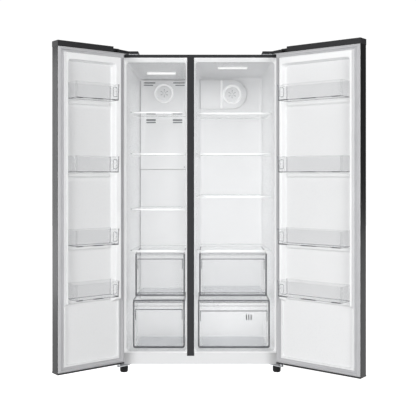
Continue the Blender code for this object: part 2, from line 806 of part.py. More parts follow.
def power_inlet():
    """The gland where the supply cord enters the machine room."""
    gland = bmesh.new()
    height, flange_radius, neck_radius = 0.12, 0.014, 0.009
    start = BACK_FACE + ROOM_COVER_THICKNESS + CLEARANCE
    end = CABINET_DEPTH + 0.002 + INLET_LENGTH
    profile = [(0, start), (flange_radius, start), (flange_radius, start + 0.003)]
    profile += [(neck_radius, end), (0, end)]
    turned(gland, profile, (0, 0, height), "Y")
    make("power_inlet", gland, BLACK_PLASTIC, REFRIGERATOR, (0, start, height))


# ---------------------------------------------------------------- feet, rollers, hinges


def front_foot(name, side):
    """A levelling foot: a dished pad on a screwed stem."""
    centre = (side * FOOT_X, FOOT_Y, 0)
    body = bmesh.new()
    pad = [(0, 0), (0.018, 0), (0.0215, 0.004), (0.023, 0.018), (0.023, 0.030), (0.012, 0.036)]
    stem = [(0.005, 0.036), (0.005, 0.075), (0, 0.075)]
    turned(body, pad + stem, centre)
    smooth(make(name, body, BLACK_PLASTIC, REFRIGERATOR, centre))


def rear_roller(name, side):
    """A roller with its axle, which turns in the base pan's cheeks."""
    centre = (side * ROLLER_X, ROLLER_Y, ROLLER_RADIUS)
    body = bmesh.new()
    half = 0.0115
    end = CHEEK_OUTER - ROLLER_X + CHEEK_THICKNESS + 0.001
    profile = [(0, -end), (AXLE_RADIUS, -end), (AXLE_RADIUS, -half), (ROLLER_RADIUS, -half)]
    profile += [(radius, -height) for radius, height in reversed(profile)]
    turned(body, profile, centre, "X")
    smooth(make(name, body, GREY_PLASTIC, REFRIGERATOR, centre))


HINGE_PLATE = 0.003
ARM_HALF_WIDTH = 0.013
HINGE_PLATE_BOTTOM = CABINET_TOP + 0.0005
HINGE_COVER_TOP = 1.771
HINGE_COVER_WALL = 0.0015
HINGE_BOX_X = (0.340, 0.405)  # the part of the hinge that lies on the cabinet
HINGE_BOX_Y = (0.004, 0.085)
ARM_ROOT_X = 0.392  # where the arm's inner edge leaves the block


def hinge_outline(side, inset):
    """Plan of a hinge: a block on the cabinet and a slanting arm with a round end over the pin."""
    reach = ARM_HALF_WIDTH - inset
    near_x, far_x = HINGE_BOX_X[0] + inset, HINGE_BOX_X[1] - inset
    front, back = HINGE_BOX_Y[0] + inset, HINGE_BOX_Y[1] - inset
    nose = arc((PIN_X, PIN_Y), reach, -135, 50, 10)
    inner_side = [(near_x, back), (near_x, front), (ARM_ROOT_X + inset, front)]
    outer_side = [(far_x, front + 0.008), (far_x, back)]
    points = [(side * x, y) for x, y in (*inner_side, *nose, *outer_side)]
    return points if side > 0 else points[::-1]


def top_hinge(name, side):
    """The steel plate on the cabinet's top, with a pin down into the door."""
    plate = bmesh.new()
    outline = hinge_outline(side, HINGE_COVER_WALL)
    slab(plate, outline, HINGE_PLATE_BOTTOM, HINGE_PLATE_BOTTOM + HINGE_PLATE)
    obj = make(name, plate, ZINC_STEEL, REFRIGERATOR)
    pin = bmesh.new()
    rod(pin, (side * PIN_X, PIN_Y, 0), PIN_RADIUS, 1.722, HINGE_PLATE_BOTTOM + 0.001, "Z", 16)
    add(obj, pin, "pin")


def hinge_cover(name, side):
    """The plastic cap over the top hinge."""
    bottom = HINGE_PLATE_BOTTOM + HINGE_PLATE + CLEARANCE
    body = bmesh.new()
    low, high = hinge_outline(side, 0.0), hinge_outline(side, 0.002)
    closed_loft(body, [(x, y, bottom) for x, y in low], [(x, y, HINGE_COVER_TOP) for x, y in high])
    make(name, body, BLACK_PLASTIC, REFRIGERATOR)


def bottom_hinge(name, side):
    """The bracket under the cabinet, with a pin up into the door and a hole for the foot."""
    top = CABINET_BOTTOM - CLEARANCE
    inner_x, outer_x = PIN_X - 0.060, HALF_WIDTH - 0.001
    front, back = 0.005, 0.085
    nose = arc((PIN_X, PIN_Y), 0.0125, -135, 0, 8)
    outline = [(side * x, y) for x, y in ((inner_x, back), (inner_x, front), *nose, (outer_x, back))]
    plate = bmesh.new()
    slab(plate, outline if side > 0 else outline[::-1], top - HINGE_PLATE, top)
    obj = make(name, plate, ZINC_STEEL, REFRIGERATOR)
    pin = bmesh.new()
    rod(pin, (side * PIN_X, PIN_Y, 0), PIN_RADIUS, top - 0.001, 0.095, "Z", 16)
    add(obj, pin, "pin")
    hole = bmesh.new()
    rod(hole, (side * FOOT_X, FOOT_Y, 0), STEM_HOLE_RADIUS, 0.040, 0.060, "Z", 16)
    cut(obj, hole, "foot_hole")


# ---------------------------------------------------------------- doors
GASKET_INSET = 0.002
GASKET_WIDTH = 0.018
GASKET_BACK = -0.0013
GASKET_SLOPE = 0.006  # the seal's outer side leans in, so that the hinge side clears the cabinet
LINER_FACE = DOOR_BACK + 0.0005
SKIN_FLANGE = 0.014
DYKE_HEIGHT = 0.028
DYKE_TOP = 1.7255
DYKE_BOTTOM = 0.105
SIDE_DYKE_BOTTOM = 0.412
DYKE_OUTER = (0.034, 0.032)  # to the dykes' outer feet, from the hinge edge and from the free edge
DYKE_TOP_DRAFT = 0.008
TOP_DYKE_BOTTOM = 1.676
RIM_WIDTH = 0.012
RIM_HEIGHT = 0.0080
RIM_DRAFT = 0.002
PLUG_LENGTH = 0.080
BIN_TAPER = 0.003
CAP_RECESS_LENGTH = 0.067
CAP_RECESS_BACK = 0.051  # depth of the hinge recess from the door's inner face


class Door:
    """Places on a closed door, measured from its hinge side (along) and its inner face (proud)."""

    def __init__(self, prefix, side, width, bin_span):
        self.prefix = prefix
        self.side = side
        self.width = width
        self.bin_span = bin_span
        self.edge = side * HALF_WIDTH
        pin = (side * PIN_X, PIN_Y, 0)
        self.anchor = anchor(f"{prefix}_door_pin", pin, REFRIGERATOR, side * DOOR_OPENING)

    def x(self, along):
        return self.edge - self.side * along

    def x_pair(self, near, far):
        return tuple(sorted((self.x(near), self.x(far))))

    def block(self, near, far, y_span, z_span):
        x0, x1 = self.x_pair(near, far)
        return box_mesh((x0, y_span[0], z_span[0]), (x1, y_span[1], z_span[1]))

    def ridge(self, base, crest, height):
        """A dyke: base and crest are (near, far, bottom, top), and it stands on the liner's plate."""
        bm = bmesh.new()
        sides = []
        for near, far, bottom, top in (base, crest):
            x0, x1 = self.x_pair(near, far)
            sides.append((x0, x1, bottom, top))
        rect_loft(bm, sides[0], LINER_FACE - 0.001, sides[1], LINER_FACE + height)
        return bm

    def make(self, name, bm, material):
        return make(f"{self.prefix}_{name}", bm, material, self.anchor, ANCHOR_AT[self.anchor.name])


def door_shell(door):
    """The folded steel skin: front, two edges and a narrow flange behind each edge."""
    inner = DOOR_BACK - 0.0015
    profile = [
        (0, inner),
        (0, DOOR_FRONT),
        (door.width, DOOR_FRONT),
        (door.width, inner),
        (door.width - SKIN_FLANGE, inner),
        (door.width - SKIN_FLANGE, inner - SHEET),
        (door.width - SHEET, inner - SHEET),
        (door.width - SHEET, DOOR_FRONT + SHEET),
        (SHEET, DOOR_FRONT + SHEET),
        (SHEET, inner - SHEET),
        (SKIN_FLANGE, inner - SHEET),
        (SKIN_FLANGE, inner),
    ]
    skin = bmesh.new()
    slab(skin, [(door.x(along), y) for along, y in profile], DOOR_SKIN_BOTTOM, DOOR_SKIN_TOP)
    door.make("door_shell", skin, GRAPHITE_STEEL)


def pin_hole(door, bottom, top):
    bm = bmesh.new()
    rod(bm, (door.side * PIN_X, PIN_Y, 0), PIN_RADIUS + 0.0006, bottom, top, "Z", 16)
    return bm


def cap_plug(door, bottom, top):
    """The part of an end cap that fills the skin round the hinge pin."""
    gap = 0.0018
    return door.block(gap, PLUG_LENGTH, (DOOR_FRONT + gap, DOOR_BACK - 0.0032), (bottom, top))


def door_top_cap(door):
    """The end cap: full height along the door, cut down at the hinge, with a plug for the pin."""
    bottom = DOOR_SKIN_TOP + CLEARANCE
    block = door.block(0, door.width, (DOOR_FRONT, DOOR_BACK), (bottom, DOOR_TOP))
    cap = door.make("door_top_cap", block, BLACK_PLASTIC)
    add(cap, cap_plug(door, 1.715, bottom + 0.0005), "plug")
    recess = door.block(-0.01, CAP_RECESS_LENGTH, (DOOR_BACK - CAP_RECESS_BACK, 0.01), (1.7517, 1.9))
    cut(cap, recess, "recess")
    cut(cap, pin_hole(door, 1.70, 1.76), "pin")


def door_bottom_cap(door):
    """The lower end cap, with a plug for the bottom hinge's pin."""
    top = DOOR_SKIN_BOTTOM - CLEARANCE
    block = door.block(0, door.width, (DOOR_FRONT, DOOR_BACK), (DOOR_BOTTOM, top))
    cap = door.make("door_bottom_cap", block, BLACK_PLASTIC)
    add(cap, cap_plug(door, top - 0.0005, 0.115), "plug")
    cut(cap, pin_hole(door, 0.05, 0.13), "pin")


def door_liner(door):
    """The white inner panel, with dykes down both sides, across the top and round the lower panel."""
    inset = 0.0015
    plate = door.block(
        inset,
        door.width - inset,
        (DOOR_BACK - 0.0012, LINER_FACE),
        (DOOR_SKIN_BOTTOM + inset, DOOR_SKIN_TOP - inset),
    )
    obj = door.make("door_liner", plate, WHITE_LINER)
    near, far = door.bin_span
    outer_near, outer_far = DYKE_OUTER[0], door.width - DYKE_OUTER[1]
    z_base = (SIDE_DYKE_BOTTOM, DYKE_TOP)
    z_crest = (SIDE_DYKE_BOTTOM + 0.02, DYKE_TOP - DYKE_TOP_DRAFT)
    bin_gap = 0.0012
    ridges = {
        "hinge_dyke": (
            (outer_near, near - bin_gap, *z_base),
            (outer_near + 0.005, near - 0.021, *z_crest),
        ),
        "free_dyke": (
            (far + bin_gap, outer_far, *z_base),
            (far + 0.0045, outer_far - 0.0035, *z_crest),
        ),
        "top_dyke": (
            (outer_near + 0.002, outer_far - 0.002, TOP_DYKE_BOTTOM, z_base[1] - 0.0004),
            (outer_near + 0.0065, outer_far - 0.0055, TOP_DYKE_BOTTOM + 0.009, z_crest[1] - 0.0004),
        ),
    }
    for what, (base, crest) in ridges.items():
        add(obj, door.ridge(base, crest, DYKE_HEIGHT), what)

    rim_top = SIDE_DYKE_BOTTOM + 0.01
    gap = 0.0005
    rim_bottom = (DYKE_BOTTOM + gap, DYKE_BOTTOM + RIM_WIDTH)
    lower = {
        "low_hinge_rim": (outer_near, outer_near + RIM_WIDTH, DYKE_BOTTOM, rim_top),
        "low_free_rim": (outer_far - RIM_WIDTH, outer_far, DYKE_BOTTOM, rim_top),
        "low_bottom_rim": (outer_near + gap, outer_far - gap, *rim_bottom),
    }
    for what, (x0, x1, z0, z1) in lower.items():
        crest = (x0 + RIM_DRAFT, x1 - RIM_DRAFT, z0 + RIM_DRAFT, z1 - RIM_DRAFT)
        add(obj, door.ridge((x0, x1, z0, z1), crest, RIM_HEIGHT), what)


def door_gasket(door):
    """The magnetic seal, a plain closed ring on the liner's margin."""
    span_y = (LINER_FACE + CLEARANCE, GASKET_BACK)
    bottom, top = DOOR_SKIN_BOTTOM + GASKET_INSET, DOOR_SKIN_TOP - GASKET_INSET
    sides = []
    for lean in (0, GASKET_SLOPE):
        x0, x1 = door.x_pair(GASKET_INSET + lean, door.width - GASKET_INSET - lean)
        sides.append((x0, x1, bottom + lean, top - lean))
    outer = bmesh.new()
    rect_loft(outer, sides[0], span_y[0], sides[1], span_y[1])
    ring = door.make("door_gasket", outer, GASKET_GREY)
    inner = GASKET_INSET + GASKET_WIDTH
    window_z = (bottom + GASKET_WIDTH, top - GASKET_WIDTH)
    window = door.block(inner, door.width - inner, (-0.05, 0.05), window_z)
    cut(ring, window, "window")


def door_bin(door, number, bottom):
    """A clear lift-off bin between the side dykes."""
    x0, x1 = door.x_pair(*door.bin_span)
    y0, y1 = LINER_FACE + 0.0006, DOOR_BACK + BIN_REACH
    bm = bmesh.new()
    tray(bm, (x0, y0, bottom), (x1, y1, bottom + BIN_HEIGHT), BIN_WALL, BIN_TAPER)
    door.make(f"door_bin_{number}", bm, CLEAR_PLASTIC)


def door_assembly(door):
    door_shell(door)
    door_top_cap(door)
    door_bottom_cap(door)
    door_liner(door)
    door_gasket(door)
    for number, bottom in enumerate(BIN_BOTTOMS, 1):
        door_bin(door, number, bottom)


# ---------------------------------------------------------------- assembly
cabinet_shell()
lip_outer = HALF_WIDTH - SHEET - CLEARANCE
mouth_outer = HALF_WIDTH - FRONT_BAND - THROAT_INSET
liner(
    "freezer_liner",
    freezer_left,
    freezer_right,
    freezer_ceiling,
    FREEZER_DEPTH,
    (-lip_outer, MULLION_MIDDLE - CLEARANCE),
    (-mouth_outer, MULLION_LEFT - THROAT_INSET),
)
liner(
    "fridge_liner",
    fridge_left,
    fridge_right,
    fridge_ceiling,
    FRIDGE_DEPTH,
    (MULLION_MIDDLE + CLEARANCE, lip_outer),
    (MULLION_RIGHT + THROAT_INSET, mouth_outer),
)
mullion_cover()
back_panel()
kick_panel()
base_pan()

evaporator_cover()
evaporator()
fan("evaporator_fan", (FAN_X, 0.458, FAN_Z), "Y", 0.045, 5, 0.026, GREY_PLASTIC)
fan_motor()
fridge_duct_cover()
ceiling_lamp("freezer_lamp", -0.2295, 0.260, freezer_ceiling)
ceiling_lamp("fridge_lamp", 0.1835, 0.196, fridge_ceiling)

SHELF_BACK_GAP = 0.004
freezer_shelf_back = EVAPORATOR_COVER_Y - SHELF_BACK_GAP
fridge_shelf_back = FRIDGE_DEPTH - SHELF_BACK_GAP
for number, height in enumerate(FREEZER_SHELF_TOPS, 1):
    shelf(f"freezer_shelf_{number}", height, freezer_shelf_back, freezer_left, freezer_right)
for number, height in enumerate(FRIDGE_SHELF_TOPS, 1):
    shelf(f"fridge_shelf_{number}", height, fridge_shelf_back, fridge_left, fridge_right)
shelf("freezer_drawer_cover", DRAWER_COVER_TOP, freezer_shelf_back, freezer_left, freezer_right)
shelf("fridge_drawer_cover", DRAWER_COVER_TOP, fridge_shelf_back, fridge_left, fridge_right)

DRAWER_SIDE_GAP = 0.001
LOWER_BACK = STEP_FRONT - 0.006
compartments = (
    ("freezer", freezer_left, freezer_right, EVAPORATOR_COVER_Y - 0.008),
    ("fridge", fridge_left, fridge_right, FRIDGE_DEPTH - 0.012),
)
for prefix, left, right, upper_back in compartments:
    for level, front, back, z_span in (
        ("upper", UPPER_DRAWER_FRONT, upper_back, UPPER_DRAWER_Z),
        ("lower", LOWER_DRAWER_FRONT, LOWER_BACK, LOWER_DRAWER_Z),
    ):
        x_span = (left(back), right(back))
        drawer(f"{prefix}_drawer_{level}", x_span, front, back, z_span, DRAWER_SIDE_GAP)

compressor()
condenser()
fan("condenser_fan", (-0.130, MACHINE_Y, 0.160), "X", 0.070, 5, 0.030, GREY_PLASTIC)
drip_tray()
machine_room_cover()
power_inlet()

for side, where in ((-1, "left"), (1, "right")):
    front_foot(f"front_foot_{where}", side)
    rear_roller(f"rear_roller_{where}", side)
    top_hinge(f"top_hinge_{where}", side)
    hinge_cover(f"hinge_cover_{where}", side)
    bottom_hinge(f"bottom_hinge_{where}", side)

door_assembly(Door("freezer", -1, FREEZER_DOOR_WIDTH, FREEZER_BIN_SPAN))
door_assembly(Door("fridge", 1, FRIDGE_DOOR_WIDTH, FRIDGE_BIN_SPAN))
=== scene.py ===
"""Looks for the side-by-side refrigerator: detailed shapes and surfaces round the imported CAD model.

Shapes are drawn in the cabinet's own frame: x from the middle of the cabinet, y from its front face
towards the back, z from the floor. Door pieces are drawn on a closed door and then swung open.
"""

import json
import math

import bmesh
import bpy
from mathutils import Matrix, Vector


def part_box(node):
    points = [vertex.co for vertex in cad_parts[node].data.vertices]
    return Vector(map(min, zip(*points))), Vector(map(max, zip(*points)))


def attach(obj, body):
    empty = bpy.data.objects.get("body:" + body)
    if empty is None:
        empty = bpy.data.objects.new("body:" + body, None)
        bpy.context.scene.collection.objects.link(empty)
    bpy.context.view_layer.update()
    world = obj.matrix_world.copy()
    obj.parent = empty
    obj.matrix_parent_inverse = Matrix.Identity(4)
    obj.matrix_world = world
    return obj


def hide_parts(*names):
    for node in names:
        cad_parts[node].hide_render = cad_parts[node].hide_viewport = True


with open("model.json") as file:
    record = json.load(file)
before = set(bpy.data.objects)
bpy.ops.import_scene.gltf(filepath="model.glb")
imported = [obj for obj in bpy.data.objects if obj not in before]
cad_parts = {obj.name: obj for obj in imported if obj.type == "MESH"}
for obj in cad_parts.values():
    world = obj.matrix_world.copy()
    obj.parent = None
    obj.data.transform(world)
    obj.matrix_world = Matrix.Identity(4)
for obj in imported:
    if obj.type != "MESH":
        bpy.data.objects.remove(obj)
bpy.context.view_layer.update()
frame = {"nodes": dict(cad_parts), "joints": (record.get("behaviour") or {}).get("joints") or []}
NODES = frame["nodes"]
JOINTS = {joint["name"]: joint for joint in frame["joints"]}

# ---------------------------------------------------------------- places taken from the CAD model
shell_low, shell_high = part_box("cabinet_shell")
ORIGIN = Vector(((shell_low.x + shell_high.x) / 2, shell_low.y, 0))
CABINET = Matrix.Translation(ORIGIN)
HALF_WIDTH = (shell_high.x - shell_low.x) / 2
CABINET_DEPTH = shell_high.y - shell_low.y
CABINET_TOP = shell_high.z
CABINET_BOTTOM = shell_low.z


def local_points(node, place=CABINET):
    """The corners of a CAD node, in the frame that place maps to the world."""
    back = place.inverted()
    return [back @ vertex.co for vertex in NODES[node].data.vertices]


def local_box(node, place=CABINET):
    """Lowest and highest corner of a CAD node, in that frame."""
    points = local_points(node, place)
    return [Vector([pick(p[i] for p in points) for i in range(3)]) for pick in (min, max)]


def x_span(points):
    return min(p.x for p in points), max(p.x for p in points)


# Sizes that the CAD model shares but a box can't give.
SHEET = 0.0012
LINER_WALL = 0.002
FRONT_BAND = 0.0175
OPENING_FLOOR = 0.118
OPENING_TOP = 1.7165
THROAT_DEPTH = 0.030
STEP_FRONT = 0.357
STEP_TOP = 0.335
# Left and right wall: at the front face of the cabinet, then at the compartment's back.
FREEZER_X = ((-0.4117, -0.0779), (-0.360, -0.089))
FRIDGE_X = ((-0.0295, 0.4123), (-0.0085, 0.376))
FREEZER_CEILING_BACK = 1.657
FRIDGE_CEILING_BACK = 1.694
# The dyke is the raised border round a door's inner panel; "outer" is from the hinge and the free edge.
DYKE_HEIGHT = 0.028
SIDE_DYKE_BOTTOM = 0.412
TOP_DYKE_BOTTOM = 1.676
DYKE_TOP = 1.7255
DYKE_BOTTOM = 0.105
DYKE_OUTER = (0.034, 0.032)

# ---------------------------------------------------------------- materials


def node_graph(name):
    material = bpy.data.materials.new(name)
    material.use_nodes = True
    return material, material.node_tree.nodes, material.node_tree.links


def noise_layer(nodes, links, scale, stretch, detail):
    """A noise over the object's own coordinates, stretched along its axes."""
    where = nodes.new("ShaderNodeTexCoord")
    mapping = nodes.new("ShaderNodeMapping")
    mapping.inputs["Scale"].default_value = stretch
    noise = nodes.new("ShaderNodeTexNoise")
    noise.inputs["Scale"].default_value = scale
    noise.inputs["Detail"].default_value = detail
    links.new(where.outputs["Object"], mapping.inputs["Vector"])
    links.new(mapping.outputs["Vector"], noise.inputs["Vector"])
    return noise.outputs["Fac"]


def spread(nodes, links, value, low, high):
    """The middle of a noise, stretched from low to high."""
    scale = nodes.new("ShaderNodeMapRange")
    scale.inputs["From Min"].default_value = 0.3
    scale.inputs["From Max"].default_value = 0.7
    scale.inputs["To Min"].default_value = low
    scale.inputs["To Max"].default_value = high
    links.new(value, scale.inputs["Value"])
    return scale.outputs["Result"]


def surface(
    name, colour, roughness, metallic=0.0, alpha=1.0, coat=0.0, grain=900, stretch=(1, 1, 1),
    bump=0.00004, variation=0.04, roughness_spread=0.05, broad=6, specular=0.5,
):
    """A Principled surface with a fine grain in its bump and roughness, and a broad drift in its colour."""
    material, nodes, links = node_graph(name)
    shader = nodes["Principled BSDF"]
    shader.inputs["Metallic"].default_value = metallic
    shader.inputs["Alpha"].default_value = alpha
    shader.inputs["Coat Weight"].default_value = coat
    shader.inputs["Coat Roughness"].default_value = 0.08
    shader.inputs["Specular IOR Level"].default_value = specular
    fine = noise_layer(nodes, links, grain, stretch, 2)
    drift = noise_layer(nodes, links, broad, (1, 1, 1), 3)
    tint = nodes.new("ShaderNodeMix")
    tint.data_type = "RGBA"
    tint.inputs["A"].default_value = (*(c * (1 - variation) for c in colour), 1)
    tint.inputs["B"].default_value = (*(min(1, c * (1 + variation)) for c in colour), 1)
    links.new(spread(nodes, links, drift, 0, 1), tint.inputs["Factor"])
    links.new(tint.outputs["Result"], shader.inputs["Base Color"])
    low, high = max(0.02, roughness - roughness_spread), roughness + roughness_spread
    links.new(spread(nodes, links, fine, low, high), shader.inputs["Roughness"])
    relief = nodes.new("ShaderNodeBump")
    relief.inputs["Strength"].default_value = 0.5
    relief.inputs["Distance"].default_value = bump
    links.new(fine, relief.inputs["Height"])
    links.new(relief.outputs["Normal"], shader.inputs["Normal"])
    return material


def clear(name, colour, alpha, roughness=0.10, variation=0.02):
    """A clear moulding, tinted by its colour and alpha; the darker edge and pane tints made with it are
    painted shade.
    """
    return surface(name, colour, roughness, alpha=alpha, grain=160, bump=0.00002, variation=variation)


def glowing(name, colour, strength):
    """A finely ribbed surface with some light of its own: a real glow on a lamp lens, and a painted
    highlight where it brightens a white lip, rim or crease.
    """
    material = surface(name, colour, 0.35, grain=500, stretch=(1, 0.1, 1))
    shader = material.node_tree.nodes["Principled BSDF"]
    shader.inputs["Emission Color"].default_value = (*colour, 1)
    shader.inputs["Emission Strength"].default_value = strength
    return material


def spangled(name, colour, roughness, size):
    """Zinc-plated sheet: crystals of slightly different grey."""
    material = surface(name, colour, roughness, metallic=0.85, grain=400)
    nodes, links = material.node_tree.nodes, material.node_tree.links
    where = nodes.new("ShaderNodeTexCoord")
    cells = nodes.new("ShaderNodeTexVoronoi")
    cells.inputs["Scale"].default_value = size
    ramp = nodes.new("ShaderNodeMix")
    ramp.data_type = "RGBA"
    ramp.inputs["A"].default_value = (*(c * 0.82 for c in colour), 1)
    ramp.inputs["B"].default_value = (*(c * 1.12 for c in colour), 1)
    links.new(where.outputs["Object"], cells.inputs["Vector"])
    links.new(cells.outputs["Color"], ramp.inputs["Factor"])
    links.new(ramp.outputs["Result"], nodes["Principled BSDF"].inputs["Base Color"])
    return material


FINISHES = {
    "graphite_steel": surface(
        "graphite_steel", (0.015, 0.0153, 0.0165), 0.25, metallic=0.85, grain=700,
        stretch=(1, 1, 0.012), bump=0.00002, variation=0.05, roughness_spread=0.05, specular=0.3,
    ),
    "black_plastic": surface(
        "black_plastic", (0.024, 0.024, 0.026), 0.36, grain=1500, bump=0.00006, specular=0.25,
    ),
    "mullion_grey": surface(
        "mullion_grey", (0.032, 0.032, 0.035), 0.36, grain=1200, stretch=(1, 1, 0.02), specular=0.2,
    ),
    "white_liner": surface(
        "white_liner", (0.83, 0.835, 0.841), 0.30, coat=0.10, grain=260, bump=0.00001, variation=0.008,
    ),
    "kick_white": surface(
        "kick_white", (0.80, 0.805, 0.812), 0.4, grain=1400, bump=0.00003, variation=0.008,
    ),
    "white_moulding": surface(
        "white_moulding", (0.87, 0.875, 0.88), 0.34, grain=1400, bump=0.00003, variation=0.008,
    ),
    # The glowing whites below, apart from the lamp, are painted highlights on mouldings that have no light
    # of their own.
    "ring_painted_glow": glowing("ring_painted_glow", (0.95, 0.955, 0.96), 0.10),
    "dyke_painted_glow": glowing("dyke_painted_glow", (0.91, 0.915, 0.92), 0.04),
    "gasket_grey": surface("gasket_grey", (0.52, 0.52, 0.535), 0.6, grain=700, bump=0.00004),
    "clear_plastic": clear("clear_plastic", (0.70, 0.71, 0.73), 0.06),
    "clear_edge_painted_shade": clear("clear_edge_painted_shade", (0.17, 0.175, 0.19), 0.62, 0.20, 0.03),
    "drawer_front_painted_shade": clear("drawer_front_painted_shade", (0.30, 0.305, 0.315), 0.16, variation=0.03),
    "drawer_edge_painted_shade": clear("drawer_edge_painted_shade", (0.075, 0.077, 0.085), 0.86, 0.20, 0.03),
    "drawer_floor": clear("drawer_floor", (0.46, 0.49, 0.52), 0.30, 0.20, 0.03),
    "glass_edge": clear("glass_edge", (0.30, 0.32, 0.33), 0.22),
    "bin_face": clear("bin_face", (0.52, 0.53, 0.55), 0.10),
    "foot_black": surface("foot_black", (0.006, 0.006, 0.0065), 0.42, grain=1500, specular=0.15),
    "shelf_glass": surface(
        "shelf_glass", (0.72, 0.76, 0.76), 0.04, alpha=0.05, grain=40, bump=0.00001, variation=0.01,
        roughness_spread=0.01,
    ),
    "lamp_white": glowing("lamp_white", (0.98, 0.98, 0.97), 0.35),
    "zinc_steel": spangled("zinc_steel", (0.55, 0.56, 0.58), 0.38, 70),
    "bare_aluminium": surface(
        "bare_aluminium", (0.70, 0.71, 0.73), 0.36, metallic=0.95, grain=500, stretch=(1, 1, 0.05),
    ),
    "black_paint": surface("black_paint", (0.02, 0.02, 0.02), 0.35, grain=600, bump=0.00005),
    "condenser_black": surface("condenser_black", (0.03, 0.03, 0.03), 0.5, metallic=0.3),
    "grey_plastic": surface("grey_plastic", (0.30, 0.31, 0.32), 0.5, grain=1500, bump=0.00006),
    "pale_floor": surface("pale_floor", (0.93, 0.93, 0.93), 0.7, grain=60, variation=0.01),
}
floor_shader = FINISHES["pale_floor"].node_tree.nodes["Principled BSDF"]
floor_shader.inputs["Emission Color"].default_value = (1, 1, 1, 1)
floor_shader.inputs["Emission Strength"].default_value = 0.90

# ---------------------------------------------------------------- making pieces


def modifier(obj, kind, **settings):
    made = obj.modifiers.new(kind.title(), kind)
    for name, value in settings.items():
        setattr(made, name, value)


def flatten(obj):
    """Keeps large flat faces flat where they meet small rounded ones."""
    modifier(obj, "WEIGHTED_NORMAL", keep_sharp=True)


def face_towards(bm, point):
    """Turns an open sheet so that its faces look at a point."""
    bmesh.ops.recalc_face_normals(bm, faces=bm.faces)
    point = Vector(point)
    looking = sum(f.normal.dot(point - f.calc_center_median()) * f.calc_area() for f in bm.faces)
    if looking < 0:
        bmesh.ops.reverse_faces(bm, faces=bm.faces)


def piece(
    name, bm, body, finishes, place=CABINET, stands_for=(), sharp=35, wall=0.0, towards=None, away=None,
):
    """Turns a bmesh into a piece that rides on a body. The first finish is its first material.

    An open sheet says the point that its faces look towards or away from, and gets its wall behind them.
    """
    bmesh.ops.remove_doubles(bm, verts=bm.verts, dist=1e-6)
    if towards is not None or away is not None:
        face_towards(bm, towards or away)
    else:
        bmesh.ops.recalc_face_normals(bm, faces=bm.faces)
    if away is not None:
        bmesh.ops.reverse_faces(bm, faces=bm.faces)
    bmesh.ops.transform(bm, matrix=place, verts=bm.verts)
    mesh = bpy.data.meshes.new(name)
    bm.to_mesh(mesh)
    bm.free()
    obj = bpy.data.objects.new(name, mesh)
    bpy.context.scene.collection.objects.link(obj)
    for finish in finishes:
        mesh.materials.append(FINISHES[finish])
    mesh.shade_smooth()
    mesh.set_sharp_from_angle(angle=math.radians(sharp))
    if wall:
        modifier(obj, "SOLIDIFY", thickness=wall, offset=-1, use_even_offset=True)
    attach(obj, body)
    if stands_for:
        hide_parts(*stands_for)
    if finishes[0] in ("clear_plastic", "shelf_glass"):
        obj.visible_shadow = False
        obj.visible_diffuse = False
    return obj


def loft(bm, rings, caps=(True, True), cyclic=False, shade=None):
    """Skins a row of closed rings. shade(band, side) gives the material of a face."""
    made = [[bm.verts.new(point) for point in ring] for ring in rings]
    pairs = list(zip(made, made[1:] + made[:1] if cyclic else made[1:]))
    for band, (ring, other) in enumerate(pairs):
        for side in range(len(ring)):
            after = (side + 1) % len(ring)
            face = bm.faces.new((ring[side], ring[after], other[after], other[side]))
            if shade:
                face.material_index = shade(band, side)
    if not cyclic:
        for ring, wanted in ((made[0], caps[0]), (made[-1], caps[1])):
            if wanted:
                bm.faces.new(ring)


def rounded(points, radius, steps=4):
    """An outline with its corners rounded; radius is one number, or one for each corner."""
    radii = radius if isinstance(radius, (list, tuple)) else [radius] * len(points)
    outline = []
    for i, corner in enumerate(points):
        corner = Vector(corner)
        before, after = Vector(points[i - 1]), Vector(points[(i + 1) % len(points)])
        if radii[i] <= 0:
            outline.append(tuple(corner))
            continue
        start = corner + (before - corner).normalized() * radii[i]
        end = corner + (after - corner).normalized() * radii[i]
        for step in range(steps + 1):
            s = step / steps
            outline.append(tuple(start * (1 - s) ** 2 + corner * 2 * s * (1 - s) + end * s**2))
    return outline


def rectangle(x0, x1, z0, z1):
    return [(x0, z0), (x1, z0), (x1, z1), (x0, z1)]


def ring_at(outline, z):
    """An (x, y) outline placed at one height."""
    return [(x, y, z) for x, y in outline]


def outline_at(outline, y):
    """An (x, z) outline placed at one depth."""
    return [(x, y, z) for x, z in outline]


def bar(bm, low, high, radius=0.0, steps=2, index=0):
    """A box with rounded edges."""
    made = bmesh.ops.create_cube(bm, size=1)["verts"]
    size, middle = Vector(high) - Vector(low), (Vector(high) + Vector(low)) / 2
    bmesh.ops.transform(bm, matrix=Matrix.Translation(middle) @ Matrix.Diagonal((*size, 1)), verts=made)
    edges = list({edge for vertex in made for edge in vertex.link_edges})
    faces = {face for vertex in made for face in vertex.link_faces}
    if radius:
        radius = min(radius, min(size) * 0.49)
        bevel = bmesh.ops.bevel(bm, geom=edges, offset=radius, segments=steps, profile=0.5, affect="EDGES")
        faces = set(bevel["faces"]) | {face for vertex in bevel["verts"] for face in vertex.link_faces}
    for face in faces:
        face.material_index = index


AXES = {
    "Z": Matrix.Identity(3),
    "Y": Matrix.Rotation(math.radians(90), 3, "X"),
    "X": Matrix.Rotation(math.radians(90), 3, "Y"),
}


def turned(bm, profile, centre, axis="Z", sides=48, index=0, closed=False):
    """A turned shape from (radius, height) pairs; along Y, height runs towards the front."""
    spin = AXES[axis]
    rings = []
    for radius, height in profile:
        ring = []
        for i in range(sides):
            angle = 2 * math.pi * i / sides
            point = Vector((radius * math.cos(angle), radius * math.sin(angle), height))
            ring.append(Vector(centre) + spin @ point)
        rings.append(ring)
    loft(bm, rings, cyclic=closed, shade=lambda band, side: index)


